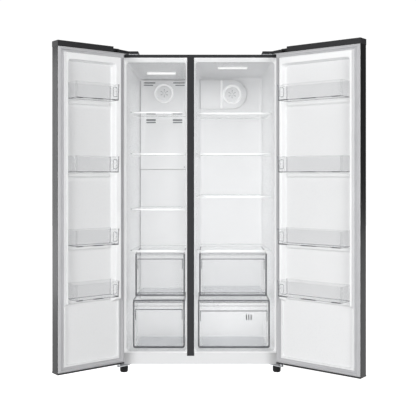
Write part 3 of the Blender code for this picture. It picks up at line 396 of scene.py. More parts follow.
def flat_plate(outline, holes, y_front, y_back, edge=0.0006):
    """A plate that faces the front, with its outline and holes given as (x, z) points."""
    curve = bpy.data.curves.new("plate", "CURVE")
    curve.dimensions = "2D"
    curve.fill_mode = "BOTH"
    curve.extrude = max(0.0001, (y_back - y_front) / 2 - edge)
    curve.bevel_depth = edge
    curve.bevel_resolution = 1
    curve.offset = -edge
    for loop in [outline, *holes]:
        spline = curve.splines.new("POLY")
        spline.points.add(len(loop) - 1)
        for point, (x, z) in zip(spline.points, loop):
            point.co = (x, z, 0, 1)
        spline.use_cyclic_u = True
    holder = bpy.data.objects.new("plate", curve)
    mesh = bpy.data.meshes.new_from_object(holder)
    bm = bmesh.new()
    bm.from_mesh(mesh)
    bpy.data.objects.remove(holder)
    bpy.data.curves.remove(curve)
    bpy.data.meshes.remove(mesh)
    stand = Matrix.Translation((0, (y_front + y_back) / 2, 0)) @ Matrix.Rotation(math.radians(90), 4, "X")
    bmesh.ops.transform(bm, matrix=stand, verts=bm.verts)
    return bm


def merge(bm, other):
    """Adds another bmesh to this one."""
    mesh = bpy.data.meshes.new("part")
    other.to_mesh(mesh)
    other.free()
    bm.from_mesh(mesh)
    bpy.data.meshes.remove(mesh)


def relief(columns, rows, point):
    """A sheet over a grid; point(u, v) gives each place."""
    bm = bmesh.new()
    grid = [[bm.verts.new(point(u, v)) for u in columns] for v in rows]
    for row, above in zip(grid, grid[1:]):
        for i in range(len(columns) - 1):
            bm.faces.new((row[i], row[i + 1], above[i + 1], above[i]))
    return bm


def stations(start, end, coarse, *fine):
    """Grid lines from start to end: coarse steps, and finer ones inside each (from, to, step) span."""
    tiny, near = 1e-9, 1e-6
    span_ends = [place for low, high, step in fine for place in (low, high)]
    lines, at = [start], start
    while at < end - near:
        step = min([s for low, high, s in fine if low - tiny <= at < high - tiny] or [coarse])
        ahead = [place for place in span_ends if at + near < place < at + step]
        at = min(at + step, end, *ahead)
        lines.append(at)
    return lines


def ease(value):
    value = min(1.0, max(0.0, value))
    return value * value * (3 - 2 * value)


def slope(value, fillet=0.18):
    """0 to 1 along a straight slope with a short round at its foot and its crest."""
    value = min(1.0, max(0.0, value))
    if value > 0.5:
        return 1 - slope(1 - value, fillet)
    height = 0.5 * value * value / fillet if value < fillet else value - fillet / 2
    return height / (1 - fillet)


def ramp(start, end, depth):
    return lambda y: start + (end - start) * y / depth


# ---------------------------------------------------------------- cabinet


def cabinet_shell():
    """The wrapped sheet: two sides and a top, rounded into the flange round the front."""
    bm = bmesh.new()
    x, inner, top, back = HALF_WIDTH, HALF_WIDTH - FRONT_BAND, CABINET_TOP, CABINET_DEPTH
    low, turned_in = CABINET_BOTTOM, CABINET_TOP - FRONT_BAND
    front = [bm.verts.new(p) for p in ((-x, 0, low), (-x, 0, top), (x, 0, top), (x, 0, low))]
    rear = [bm.verts.new((v.co.x, back, v.co.z)) for v in front]
    corners = ((-inner, 0, low), (-inner, 0, turned_in), (inner, 0, turned_in), (inner, 0, low))
    flange = [bm.verts.new(p) for p in corners]
    for i in range(3):
        bm.faces.new((front[i], rear[i], rear[i + 1], front[i + 1]))
        bm.faces.new((front[i], front[i + 1], flange[i + 1], flange[i]))
    bmesh.ops.recalc_face_normals(bm, faces=bm.faces)
    folds = [e for e in bm.edges if len(e.link_faces) == 2 and e.calc_face_angle() > 1]
    bmesh.ops.bevel(bm, geom=folds, offset=0.004, segments=4, profile=0.5, affect="EDGES")
    # The flange's front faces, picked by the way they face, take the mullion's flat grey instead of the
    # steel: a painted reflection for the sheen the flat steel front would show.
    for face in bm.faces:
        face.material_index = 1 if abs(face.normal.y) > 0.7 else 0
    shell = piece(
        "outer_cabinet", bm, "cabinet", ["graphite_steel", "mullion_grey"], stands_for=["cabinet_shell"],
        wall=SHEET, away=(0, 0.3, 0.9),
    )
    flatten(shell)


CORNER = 0.018
LIP_ROUND = 0.004
LIP_BANDS = 7  # rings of faces from the liner's flange to the end of its mouth


def arc(steps=5):
    """(across, along) shares of a quarter turn that leaves its start sideways and ends going forward."""
    turns = [math.radians(90) * i / steps for i in range(steps + 1)]
    return [(math.sin(turn), 1 - math.cos(turn)) for turn in turns]


def compartment(node, front_x, back_x, ceiling_back, mouth_x):
    """A vacuum-formed liner: lip, sloping mouth, drafted walls, raised floor and round inner corners."""
    low, high = local_box(node)
    lip_y, depth = low.y, high.y - LINER_WALL
    left = ramp(front_x[0], back_x[0], depth)
    right = ramp(front_x[1], back_x[1], depth)
    ceiling = ramp(OPENING_TOP, ceiling_back, depth)
    mouth_z = (OPENING_FLOOR - 0.002, CABINET_TOP - FRONT_BAND - 0.001)
    rings = []

    def ring(y, x0, x1, z0, z1, radius):
        rings.append(outline_at(rounded(rectangle(x0, x1, z0, z1), radius, 5), y))

    def mouth_at(y, grow, radius):
        share = (y - lip_y) / (THROAT_DEPTH - lip_y)
        x0 = mouth_x[0] + (left(THROAT_DEPTH) - mouth_x[0]) * share
        x1 = mouth_x[1] + (right(THROAT_DEPTH) - mouth_x[1]) * share
        z0 = mouth_z[0] + (OPENING_FLOOR - mouth_z[0]) * share
        z1 = mouth_z[1] + (ceiling(THROAT_DEPTH) - mouth_z[1]) * share
        ring(y, x0 - grow, x1 + grow, z0 - grow, z1 + grow, radius)

    def walls_at(y, floor_z, inset=0.0):
        ring(y, left(y) + inset, right(y) - inset, floor_z + inset, ceiling(y) - inset, CORNER)

    ring(lip_y, low.x, high.x, low.z, high.z, 0.0005)
    for across, forward in arc(4):
        mouth_at(lip_y + LIP_ROUND * forward, LIP_ROUND * (1 - across), CORNER)
    mouth_at(THROAT_DEPTH - 0.0008, 0, CORNER)
    walls_at(THROAT_DEPTH, OPENING_FLOOR)
    walls_at(STEP_FRONT - CORNER - 0.05, OPENING_FLOOR)
    for across, up in arc():
        walls_at(STEP_FRONT - CORNER * (1 - across), OPENING_FLOOR + CORNER * up)
    for across, up in arc():
        walls_at(STEP_FRONT + 0.0006 + CORNER * up, STEP_TOP - CORNER * (1 - across))
    for share in (0.3, 0.6):
        walls_at(STEP_FRONT + (depth - STEP_FRONT) * share, STEP_TOP)
    for across, inward in arc():
        walls_at(depth - CORNER * (1 - across), STEP_TOP, CORNER * inward)
    bm = bmesh.new()
    # The lip and mouth bands take the glowing white finish: a painted highlight where the front light falls
    # on the lip.
    loft(bm, rings, caps=(False, True), shade=lambda band, side: 1 if band < LIP_BANDS else 0)
    middle = ((left(0.2) + right(0.2)) / 2, 0.2, 0.9)
    piece(
        node + "_moulding", bm, "cabinet", ["white_liner", "ring_painted_glow"], stands_for=[node], towards=middle,
        sharp=26, wall=LINER_WALL / 2,
    )
    return left, right, ceiling, depth


def wall_ribs(name, tops, left, right, back, below, reach):
    """Moulded ledges along both walls that carry the shelves."""
    front, lead_in, thickness, round_off = 0.145, 0.008, 0.013, 0.0022
    bm = bmesh.new()
    for top in tops:
        z = top - below
        for wall, side in ((left, 1), (right, -1)):
            rings = []
            for y in (front, front + lead_in, back - 0.02):
                grown = reach if y > front else reach * 0.35
                x = wall(y) - side * 0.002
                x_in = wall(y) + side * grown
                corners = [(x, z), (x, z - thickness), (x_in, z - 0.008), (x_in, z)]
                rings.append(outline_at(rounded(corners, round_off, 3), y))
            loft(bm, rings)
    piece(name, bm, "cabinet", ["white_liner"])


def glass_shelf(node, body, trim_inset):
    """A glass plate with a polished edge, a white front trim and a clear strip along its back."""
    thick, polish, corner = 0.004, 0.0007, 0.003
    low, high = local_box(node)
    points = local_points(node)
    x0, x1 = x_span([p for p in points if p.y < low.y + 0.02])
    x2, x3 = x_span([p for p in points if p.y > high.y - 0.001])
    front = low.y + 0.003
    outline = rounded([(x0, front), (x1, front), (x3, high.y), (x2, high.y)], corner, 3)
    middle = Vector(((x0 + x1) / 2, (low.y + high.y) / 2))
    inner = [tuple(Vector(p) + (middle - Vector(p)).normalized() * polish) for p in outline]
    top, bottom = high.z, high.z - thick
    rings = [ring_at(inner, bottom), ring_at(outline, bottom + polish), ring_at(outline, top - polish)]
    rings.append(ring_at(inner, top))
    bm = bmesh.new()
    loft(bm, rings, shade=lambda band, side: 1)
    trim = (x0 + trim_inset, low.y, top - 0.0090), (x1 - 0.001, low.y + 0.011, top + 0.0004)
    bar(bm, *trim, 0.0018, 3, 2)
    strip = (x2 + 0.004, high.y - 0.004, top - 0.006), (x3 - 0.004, high.y + 0.001, top + 0.003)
    bar(bm, *strip, 0.001, 2, 0)
    finishes = ["shelf_glass", "glass_edge", "white_moulding"]
    piece(node + "_glass", bm, body, finishes, stands_for=[node])


def drawer(node, body, corner, drop, grip=0.0, slots=0, rim_bands=(5,)):
    """A clear drawer: a rounded tub behind a framed front panel, with its moulded edges in a darker finish,
    painted shade standing in for the refraction at the clear plastic's edges.

    drop is from the top to the line over the window; grip is the lower lip's share of the width.
    """
    low, high = local_box(node)
    front = low.y + 0.008
    x0, x1 = x_span([p for p in local_points(node) if p.y > high.y - 0.001])
    wall, lean, rim, inset = 0.0028, 0.006, 0.010, 0.007
    edge, floor_face, painted_shade_pane, dark = 1, 2, 3, 4

    def level(shrink, z, radius):
        y0, y1 = front + shrink + 0.004, high.y - shrink
        sides = [(x0 + shrink, y0), (x1 - shrink, y0), (x1 - shrink, y1), (x0 + shrink, y1)]
        return ring_at(rounded(sides, radius, 4), z)

    foot = lean + inset
    rings = [
        level(foot + 0.006, low.z, 0.010),
        level(foot, low.z + 0.007, 0.012),
        level(inset, high.z - rim, 0.012),
        level(0.0, high.z - rim + 0.002, 0.012),
        level(0.0, high.z - 0.001, 0.012),
        level(0.001, high.z, 0.012),
        level(inset + wall - 0.001, high.z, 0.012),
        level(inset + wall, high.z - 0.001, 0.012),
        level(foot + wall, low.z + 0.009, 0.010),
        level(foot + wall + 0.003, low.z + wall, 0.008),
    ]
    bm = bmesh.new()
    loft(bm, rings, shade=lambda band, side: edge if band in rim_bands else 0)
    for face in bm.faces:
        if max(vertex.co.z for vertex in face.verts) < low.z + 0.008:
            face.material_index = floor_face

    border, thick = 0.0092, 0.010
    radii = [corner, corner, 0.005, 0.005]
    outer = rounded(rectangle(x0, x1, low.z, high.z - 0.004), radii, 6)
    window = rectangle(x0 + border, x1 - border, low.z + border + 0.002, high.z - 0.006)
    inner = rounded(window, [max(0.003, r - border) for r in radii], 6)
    frame_rings = [
        outline_at(outer, front + thick), outline_at(outer, front + 0.0015), outline_at(inner, front),
        outline_at(inner, front + thick),
    ]
    # The frame's outer bands take the darker edge finish too: a painted shade outline.
    loft(bm, frame_rings, cyclic=True, shade=lambda band, side: edge if band in (0, 1) else 0)
    # The pane over the window is tinted grey: painted shade for the drawer's inside, which the clear
    # pieces' own shadows no longer darken.
    pane = bmesh.new()
    corners = [pane.verts.new(p) for p in outline_at(inner, front + 0.0012)]
    pane.faces.new(corners).material_index = painted_shade_pane
    merge(bm, pane)

    # Lines moulded on the panel, in the darker edge finish as painted shade: over the window, down its
    # sides, and on a tall panel one more above.
    line, margin, proud = 0.0042, 0.013, front - 0.0005
    z = high.z - drop
    bar(bm, (x0 + margin, proud, z), (x1 - margin, front + 0.003, z + line), 0.0006, 2, edge)
    for x in (x0 + margin, x1 - margin - line):
        bar(bm, (x, proud, z - 0.055), (x + line * 0.8, front + 0.002, z), 0.0005, 1, edge)
    if drop > 0.045:
        z = high.z - 0.033
        bar(bm, (x0 + 0.006, proud, z), (x1 - 0.006, front + 0.003, z + 0.0018), 0.0006, 2, edge)

    # The finger lip along the top, and the shadow line under it.
    a, b, lip_z = x0 + 0.012, x1 - 0.012, high.z - 0.011
    bar(bm, (a, low.y, lip_z), (b, front + 0.002, high.z - 0.002), 0.003, 3, 0)
    bar(bm, (a, low.y + 0.001, high.z - 0.0128), (b, front + 0.002, lip_z), 0.0006, 2, edge)
    if grip:
        middle, reach = (x0 + x1) / 2, (x1 - x0) * grip / 2
        ends = (middle - reach, front - 0.001, low.z), (middle + reach, front + 0.004, low.z + 0.006)
        bar(bm, *ends, 0.002, 2, edge)
    slot_pitch, slot_width, slot_height = 0.0130, 0.0052, 0.030
    for number in range(slots):
        x, z = x1 - 0.133 + slot_pitch * number, high.z - 0.080
        ends = (x, front - 0.0006, z - slot_height), (x + slot_width, front + 0.003, z)
        bar(bm, *ends, 0.0010, 2, dark)
    finishes = ["clear_plastic", "drawer_edge_painted_shade", "drawer_floor", "drawer_front_painted_shade", "black_paint"]
    piece(node + "_tub", bm, body, finishes, stands_for=[node])


# ---------------------------------------------------------------- cold air parts


OUTLET_RADIUS = 0.060
OUTLET_OPENING = 0.048
DIMPLE_PROUD = 0.0018


def outlet(bm, centre, y):
    """A round fan outlet: a raised rim in the glowing white finish, which is a painted highlight, and a
    shallow dish.
    """
    x, z = centre
    outer, inner = OUTLET_RADIUS, OUTLET_OPENING
    rim = [
        (inner - 0.004, -0.001), (inner - 0.001, 0.0035), (inner + 0.003, 0.0058), (outer - 0.004, 0.0058),
        (outer - 0.0008, 0.0035), (outer, -0.001),
    ]
    turned(bm, rim, (x, y, z), "Y", index=1, closed=True)
    dish = [(inner - 0.003, 0.0004), (inner * 0.9, 0.0012), (inner * 0.5, 0.0020), (0.0002, 0.0022)]
    turned(bm, dish, (x, y, z), "Y")


def crystal(name, centre, y):
    """Dimples in a six-pointed star, on the middle of an outlet."""
    bm = bmesh.new()
    for arm in range(6):
        angle = math.radians(60 * arm + 30)
        for radius, size in ((0.009, 0.0017), (0.016, 0.0020), (0.022, 0.0024)):
            x = centre[0] + radius * math.cos(angle)
            z = centre[1] + radius * math.sin(angle)
            turned(bm, [(size, 0.0), (size * 0.8, 0.0010), (0.0001, 0.0012)], (x, y, z), "Y", sides=12)
    piece(name, bm, "cabinet", ["grey_plastic"])


# Air slots left of the outlet: bottom, top, and where each starts and ends. The right ones mirror them.
VENT_ROWS = (
    (1.6456, 1.6528, (-0.3474, -0.2769)),
    (1.6315, 1.6376, (-0.3474, -0.2902)),
    (1.4585, 1.4635, (-0.3322, -0.2744)),
    (1.4180, 1.4289, (-0.3322, -0.2744)),
    (1.4052, 1.4131, (-0.3322, -0.2744)),
)
SEAM_Z = 1.124
SEAM_GAP = 0.0008
PANEL_THICKNESS = 0.004


def evaporator_cover():
    """The freezer's back panel: two mouldings that meet at a seam, with air slots and the fan outlet."""
    low, high = local_box("evaporator_cover")
    fan_low, fan_high = local_box("evaporator_fan")
    centre = fan_x, fan_z = (fan_low.x + fan_high.x) / 2, (fan_low.z + fan_high.z) / 2
    front = high.y - PANEL_THICKNESS
    slots = []
    for bottom, top, (x0, x1) in VENT_ROWS:
        slots += [(x0, x1, bottom, top), (2 * fan_x - x1, 2 * fan_x - x0, bottom, top)]
    bm = bmesh.new()
    for z0, z1, cuts in ((SEAM_Z + SEAM_GAP, high.z, slots), (low.z, SEAM_Z - SEAM_GAP, [])):
        outline = rounded(rectangle(low.x, high.x, z0, z1), 0.004, 3)
        holes = [rounded(rectangle(*cut), 0.0022, 3) for cut in cuts]
        merge(bm, flat_plate(outline, holes, front, high.y, 0.0009))
    outlet(bm, centre, front)
    finishes = ["white_moulding", "ring_painted_glow"]
    piece("evaporator_cover_moulding", bm, "cabinet", finishes, stands_for=["evaporator_cover"])
    crystal("freezer_outlet_dimples", centre, front - DIMPLE_PROUD)

    # Behind each slot, a grey backing that is painted shade for the dark duct behind the slot, and upright
    # blades.
    margin, gaps, half_blade = 0.002, 5, 0.0008
    bm = bmesh.new()
    for x0, x1, z0, z1 in slots:
        painted_shade_backing = (x0 - margin, high.y + 0.0004, z0 - margin), (x1 + margin, high.y + 0.003, z1 + margin)
        bar(bm, *painted_shade_backing, 0.0005, 1)
        for i in range(1, gaps):
            x = x0 + (x1 - x0) * i / gaps
            bar(bm, (x - half_blade, front + 0.001, z0), (x + half_blade, high.y + 0.001, z1), 0.0002, 1)
    piece("freezer_vent_louvres", bm, "cabinet", ["grey_plastic"])
    screws("freezer_panel_screw", [(high.x - 0.012, front, SEAM_Z + 0.014)], 0.0035)


def screws(name, places, radius, finish="grey_plastic", facing=1):
    """Round screw heads with a cross recess; facing is 1 towards the front and -1 towards the back."""
    profile = [(radius, -0.0003), (radius * 0.95, 0.0007), (radius * 0.5, 0.0013), (0.0001, 0.0014)]
    bm = bmesh.new()
    for x, y, z in places:
        turned(bm, [(r, h * facing) for r, h in profile], (x, y, z), "Y", sides=20)
        near, far = sorted((y - 0.0016 * facing, y - 0.0012 * facing))
        for across, up in ((radius * 0.6, radius * 0.12), (radius * 0.12, radius * 0.6)):
            bar(bm, (x - across, near, z - up), (x + across, far, z + up))
    piece(name, bm, "cabinet", [finish])


def duct_cover():
    """The fridge's air duct cover: square on the left, round on the right, with one upright crease."""
    low, high = local_box("fridge_duct_cover")
    front = high.y - 0.016
    radius = (high.z - low.z) / 2
    centre = x, z = high.x - radius, (high.z + low.z) / 2
    steps = 28
    turns = [math.radians(-90 + 180 * i / steps) for i in range(steps + 1)]
    outline = [(low.x, low.z)]
    outline += [(x + radius * math.cos(turn), z + radius * math.sin(turn)) for turn in turns]
    outline.append((low.x, high.z))
    spine = low.x + radius * 0.6

    def shrunk(by, y):
        ring = []
        for px, pz in outline:
            step = (Vector((max(spine, min(px, x)), z)) - Vector((px, pz))).normalized() * by
            ring.append((max(low.x, px + step.x), y, pz + step.y))
        return ring

    rounding = ((0, high.y - 0.001), (0.0004, front + 0.006), (0.0020, front + 0.002), (0.0055, front))
    bm = bmesh.new()
    loft(bm, [shrunk(by, y) for by, y in rounding], caps=(False, True))

    crease_x, half, rise, sunk, margin = 0.125, 0.007, 0.0022, 0.0004, 0.006

    def on_crease(share, height):
        return crease_x + half * share, front - rise * (1 - share * share) + sunk, height

    crease = relief((-1, -0.5, 0, 0.5, 1), (low.z + margin, high.z - margin), on_crease)
    # The crease's faces take the glowing white finish: a painted highlight along the crease.
    for face in crease.faces:
        face.material_index = 1
    merge(bm, crease)
    outlet(bm, centre, front)
    finishes = ["white_moulding", "ring_painted_glow"]
    piece("fridge_duct_cover_moulding", bm, "cabinet", finishes, stands_for=["fridge_duct_cover"])
    crystal("fridge_outlet_dimples", centre, front - DIMPLE_PROUD)


def ceiling_lamp(node, ceiling):
    """A light bar: a lit lens in a white surround that follows the ceiling's slope."""
    low, high = local_box(node)
    buried, surround = 0.0005, 0.004

    def section(y0, y1, drop, radius):
        points = [(y0, ceiling(y0) + buried), (y0, ceiling(y0) - drop)]
        points += [(y1, ceiling(y1) - drop), (y1, ceiling(y1) + buried)]
        return rounded(points, [0, radius, radius, 0], 3)

    bm = bmesh.new()
    edge = section(low.y - 0.002, high.y + 0.002, 0.0022, 0.001)
    loft(bm, [[(x, y, z) for y, z in edge] for x in (low.x - surround, high.x + surround)])
    lens = section(low.y + 0.001, high.y - 0.001, high.z - low.z - 0.006, 0.004)
    across = (low.x, low.x + 0.003, high.x - 0.003, high.x)
    loft(bm, [[(x, y, z) for y, z in lens] for x in across], shade=lambda band, side: 1)
    piece(node + "_bar", bm, "cabinet", ["white_moulding", "lamp_white"], stands_for=[node])


# ---------------------------------------------------------------- doors


class Door:
    """A door drawn closed: along is measured from its hinge edge. place swings it to rest."""

    def __init__(self, prefix, side):
        self.prefix = prefix
        self.side = side
        joint = JOINTS[f"{prefix}_door_hinge"]
        pin = Vector(joint["pos_m"])
        swing = Matrix.Rotation(math.radians(-joint["range_deg"][0]) * side, 4, "Z")
        self.place = Matrix.Translation(pin) @ swing @ Matrix.Translation(-pin) @ CABINET
        self.edge = side * HALF_WIDTH
        low, high = self.box("door_shell")
        self.width = high.x - low.x
        self.face = self.box("door_gasket")[0].y - 0.0003

    def box(self, node):
        return local_box(f"{self.prefix}_{node}", self.place)

    def x(self, along):
        return self.edge - self.side * along

    def along(self, x):
        return (self.edge - x) * self.side

    def piece(self, name, bm, finishes, nodes=(), body="door", **more):
        nodes = [f"{self.prefix}_{node}" for node in nodes]
        name, body = f"{self.prefix}_{name}", f"{self.prefix}_{body}"
        return piece(name, bm, body, finishes, place=self.place, stands_for=nodes, **more)


def door_shell(door):
    """The folded skin: a flat front, rounded edges and a narrow flange behind each edge."""
    low, high = door.box("door_shell")
    flange = 0.014
    path = [(flange, high.y), (0, high.y), (0, low.y), (door.width, low.y), (door.width, high.y)]
    path.append((door.width - flange, high.y))
    outline = rounded(path, [0, 0.0015, 0.005, 0.005, 0.0015, 0], 5)
    bm = bmesh.new()
    bottom, top = [[bm.verts.new((door.x(a), y, z)) for a, y in outline] for z in (low.z, high.z)]
    for i in range(len(outline) - 1):
        bm.faces.new((bottom[i], bottom[i + 1], top[i + 1], top[i]))
    middle = Vector((door.x(door.width / 2), (low.y + high.y) / 2, (low.z + high.z) / 2))
    flatten(door.piece("door_skin", bm, ["graphite_steel"], ["door_shell"], wall=SHEET, away=middle))


def recess_share(along, z, base, crest, radius):
    """0 on the recess's floor, 1 on the top of the dykes round it; both outlines have rounded corners."""

    def outside(rect, r):
        x0, x1, z0, z1 = rect
        dx = max(x0 + r - along, along - (x1 - r), 0)
        dz = max(z0 + r - z, z - (z1 - r), 0)
        if dx > 0 or dz > 0:
            return math.hypot(dx, dz) - r
        return max(x0 - along, along - x1, z0 - z, z - z1)

    from_base, from_crest = outside(base, radius), outside(crest, radius)
    if from_base <= 0:
        return 0.0
    if from_crest >= 0:
        return 1.0
    return from_base / (from_base - from_crest)


LEDGE = (0.029, 0.004)  # how far under a bin its moulded ledge starts and ends
LEDGE_HEIGHT = 0.011


def door_liner(door):
    """The vacuum-formed inner panel, drawn as one sheet whose height follows the dykes, ledges and rims."""
    sheet_low, sheet_high = door.box("door_liner")
    bins = [door.box(f"door_bin_{i}") for i in range(1, 5)]
    near, far = sorted(door.along(corner.x) for corner in bins[0])
    outer_near, outer_far = DYKE_OUTER[0], door.width - DYKE_OUTER[1]
    open_below = DYKE_BOTTOM - 0.5
    base = (near - 0.0012, far + 0.0012, open_below, TOP_DYKE_BOTTOM)
    crest = (near - 0.021, far + 0.0050, open_below, TOP_DYKE_BOTTOM + 0.010)
    rim_height = 0.008
    rim_base = (outer_near + 0.012, outer_far - 0.012, DYKE_BOTTOM + 0.012, DYKE_TOP)
    rim_crest = (outer_near + 0.010, outer_far - 0.010, DYKE_BOTTOM + 0.010, DYKE_TOP)

    def height(along, z):
        inner = recess_share(along, z, base, crest, 0.016)
        flanks = (
            (along - outer_near) / 0.005, (outer_far - along) / 0.0035,
            (DYKE_TOP - z) / 0.008, (z - SIDE_DYKE_BOTTOM) / 0.020,
        )
        dyke = DYKE_HEIGHT * slope(min(inner, *flanks))
        around = recess_share(along, z, rim_base, rim_crest, 0.014)
        gaps = (along - outer_near, outer_far - along, z - DYKE_BOTTOM, SIDE_DYKE_BOTTOM + 0.02 - z)
        edges = [gap / 0.002 for gap in gaps]
        rim = rim_height * ease(min(around, *edges))
        ledge = 0.0
        for low, high in bins:
            start, end = low.z - LEDGE[0], low.z - LEDGE[1]
            if start < z < end:
                across = min((along - near - 0.002) / 0.012, (far - 0.002 - along) / 0.006)
                ledge = LEDGE_HEIGHT * slope(min((z - start) / 0.011, (end - z) / 0.003, across))
        return max(dyke, rim, ledge)

    columns = stations(
        0.0015, door.width - 0.0015, 0.024, (outer_near - 0.001, outer_near + 0.014, 0.0012),
        (near - 0.024, near + 0.016, 0.0022), (far - 0.010, outer_far + 0.001, 0.0012),
    )
    ledges = [(low.z - LEDGE[0], low.z - LEDGE[1] + 0.0005, 0.0020) for low, high in bins]
    rows = stations(
        sheet_low.z, sheet_high.z, 0.030, (DYKE_BOTTOM, DYKE_BOTTOM + 0.027, 0.0020),
        (SIDE_DYKE_BOTTOM - 0.001, SIDE_DYKE_BOTTOM + 0.022, 0.0020), *ledges,
        (TOP_DYKE_BOTTOM - 0.018, TOP_DYKE_BOTTOM + 0.014, 0.0020),
        (DYKE_TOP - 0.0095, DYKE_TOP + 0.001, 0.0015),
    )

    def place(along, z):
        return door.x(along), door.face + height(along, z), z

    bm = relief(columns, rows, place)
    # The dykes' crests take the glowing white finish: a painted highlight along each crest.
    for face in bm.faces:
        proud = face.calc_center_median().y - door.face
        face.material_index = 1 if proud > DYKE_HEIGHT * 0.96 else 0
    viewer = (door.x(door.width / 2), door.face + 3.0, (sheet_low.z + sheet_high.z) / 2)
    finishes = ["white_liner", "dyke_painted_glow"]
    door.piece("door_inner_panel", bm, finishes, ["door_liner"], wall=0.0012, towards=viewer, sharp=60)


def door_gasket(door):
    """The magnetic seal: a ribbed extrusion mitred round the door, and the grey strip that holds it."""
    low, high = door.box("door_gasket")
    depth = high.y - low.y
    near, width = door.along(low.x if door.side < 0 else high.x), high.x - low.x
    section = [
        (0.0004, 0.0), (0.0012, 0.35), (0.0040, 0.52), (0.0058, 0.55), (0.0064, 0.85), (0.0078, 1.0),
        (0.0125, 1.0), (0.0140, 0.86), (0.0142, 0.42), (0.0152, 0.24), (0.0182, 0.20),
    ]
    gap = 0.0005
    ends = (DYKE_OUTER[0] - gap, door.width - DYKE_OUTER[1] + gap, DYKE_BOTTOM - gap, DYKE_TOP + gap)
    rings = []

    def ring(a, b, z0, z1, rise):
        y = low.y + depth * rise
        rings.append([(door.x(a), y, z0), (door.x(b), y, z0), (door.x(b), y, z1), (door.x(a), y, z1)])

    for inset, rise in section:
        ring(near + inset, near + width - inset, low.z + inset, high.z - inset, rise)
    for rise in (0.16, 0.0):
        ring(*ends, rise)
    bm = bmesh.new()
    loft(bm, rings, cyclic=True)
    door.piece("door_seal", bm, ["gasket_grey"], ["door_gasket"], sharp=50)


def door_bin(door, number):
    """A clear lift-off bin with soft corners, a heavier rim, three feet and a clip at the hinge end."""
    node = f"door_bin_{number}"
    low, high = door.box(node)
    x0, x1, y0, y1, z0, z1 = low.x, high.x, low.y, high.y, low.z, high.z
    wall = 0.0024
    painted_shade_edge, pale_edge, tinted, foot = 1, 2, 3, 4
    points_in_corner = 6

    def level(shrink, z, radius):
        a, b, c, d = x0 + shrink, x1 - shrink, y0 + shrink, y1 - shrink
        corners = [(a, c), (b, c), (b, d), (a, d)]
        return ring_at(rounded(corners, [0.003, 0.003, radius, radius], points_in_corner - 1), z)

    rings = [
        level(0.0060, z0, 0.008),
        level(0.0035, z0 + 0.0012, 0.009),
        level(0.0028, z0 + 0.0045, 0.010),
        level(0.0006, z1 - 0.006, 0.010),
        level(0.0, z1 - 0.004, 0.010),
        level(0.0, z1 - 0.0008, 0.010),
        level(0.0008, z1, 0.010),
        level(wall, z1, 0.009),
        level(wall + 0.0010, z1 - 0.006, 0.009),
        level(0.0028 + wall, z0 + 0.006, 0.008),
        level(0.0060 + wall, z0 + wall, 0.006),
    ]
    # The bottom bands, the back corners and the hinge-side front corner take the dark edge finish: painted
    # shade for the refraction seen at those edges; the other front corner keeps the paler edge.
    foot_bands, wall_bands = (0, 1), (2, 3, 4)
    painted_shade_corners = (0, 1, 2 if door.side > 0 else 3)

    def shade(band, side):
        if band in foot_bands:
            return painted_shade_edge
        corner, step = divmod(side, points_in_corner)
        if band not in wall_bands or step == points_in_corner - 1:
            return tinted
        return painted_shade_edge if corner in painted_shade_corners else pale_edge

    bm = bmesh.new()
    loft(bm, rings, shade=shade)
    near = min(door.along(x0), door.along(x1))
    # The feet take the darkest edge finish: painted shade along the bin's bottom.
    for start, end in ((0.03, 0.16), (0.38, 0.60), (0.84, 0.97)):
        a, b = sorted(door.x(near + (x1 - x0) * share) for share in (start, end))
        bar(bm, (a, y1 - 0.012, z0 - 0.0002), (b, y1 - 0.0015, z0 + 0.0042), 0.001, 2, foot)

    # The clip: a raised ring on the front wall.
    a, b = sorted((door.x(near + 0.016), door.x(near + 0.042)))
    middle, reach, line = (z0 + z1) / 2, 0.026, 0.004
    clip = rounded(rectangle(a, b, middle - reach, middle + reach), 0.006, 5)
    hollow = rectangle(a + line, b - line, middle - reach + line, middle + reach - line)
    hollow = rounded(hollow, 0.004, 5)
    face, proud = y1 - 0.0022, y1 - 0.0006
    section = ((clip, face), (clip, proud), (hollow, proud), (hollow, face))
    around = [outline_at(loop, y) for loop, y in section]
    loft(bm, around, cyclic=True, shade=lambda band, side: pale_edge)
    finishes = ["clear_plastic", "clear_edge_painted_shade", "glass_edge", "bin_face", "drawer_edge_painted_shade"]
    door.piece(node + "_tub", bm, finishes, [node], body=node, sharp=40)


# ---------------------------------------------------------------- outside and back


def back_panel():
    """The back sheet with pressed stiffening beads."""
    low, high = local_box("back_panel")
    beads = [low.z + (high.z - low.z) * share for share in (0.12, 0.31, 0.50, 0.69, 0.88)]
    margin, half, rise, hem, bead_end = 0.070, 0.014, 0.0028, 0.006, 0.012

    def place(x, z):
        across = min(x - low.x - margin, high.x - margin - x) / bead_end
        bead = max(1 - abs(z - at) / half for at in beads)
        border = 1 - min(x - low.x, high.x - x, z - low.z, high.z - z) / hem
        return x, high.y + rise * ease(min(across, bead * 1.6)) + 0.0010 * ease(border), z

    columns = stations(
        low.x, high.x, 0.06, (low.x, low.x + hem, 0.002),
        (low.x + margin, low.x + margin + bead_end, 0.003),
        (high.x - margin - bead_end, high.x - margin, 0.003), (high.x - hem, high.x, 0.002),
    )
    rows = stations(
        low.z, high.z, 0.06, (low.z, low.z + hem, 0.002), *[(at - half, at + half, 0.0025) for at in beads],
        (high.z - hem, high.z, 0.002),
    )
    bm = relief(columns, rows, place)
    behind = (0, high.y + 3.0, (low.z + high.z) / 2)
    piece(
        "back_sheet", bm, "cabinet", ["zinc_steel"], stands_for=["back_panel"], towards=behind, wall=0.0008,
    )
    first, last, count = low.z + 0.012, high.z - 0.012, 7
    heights = [first + (last - first) * i / (count - 1) for i in range(count)]
    places = [(x, high.y + 0.0006, z) for x in (low.x + 0.010, high.x - 0.010) for z in heights]
    screws("back_sheet_screw", places, 0.0045, finish="zinc_steel", facing=-1)


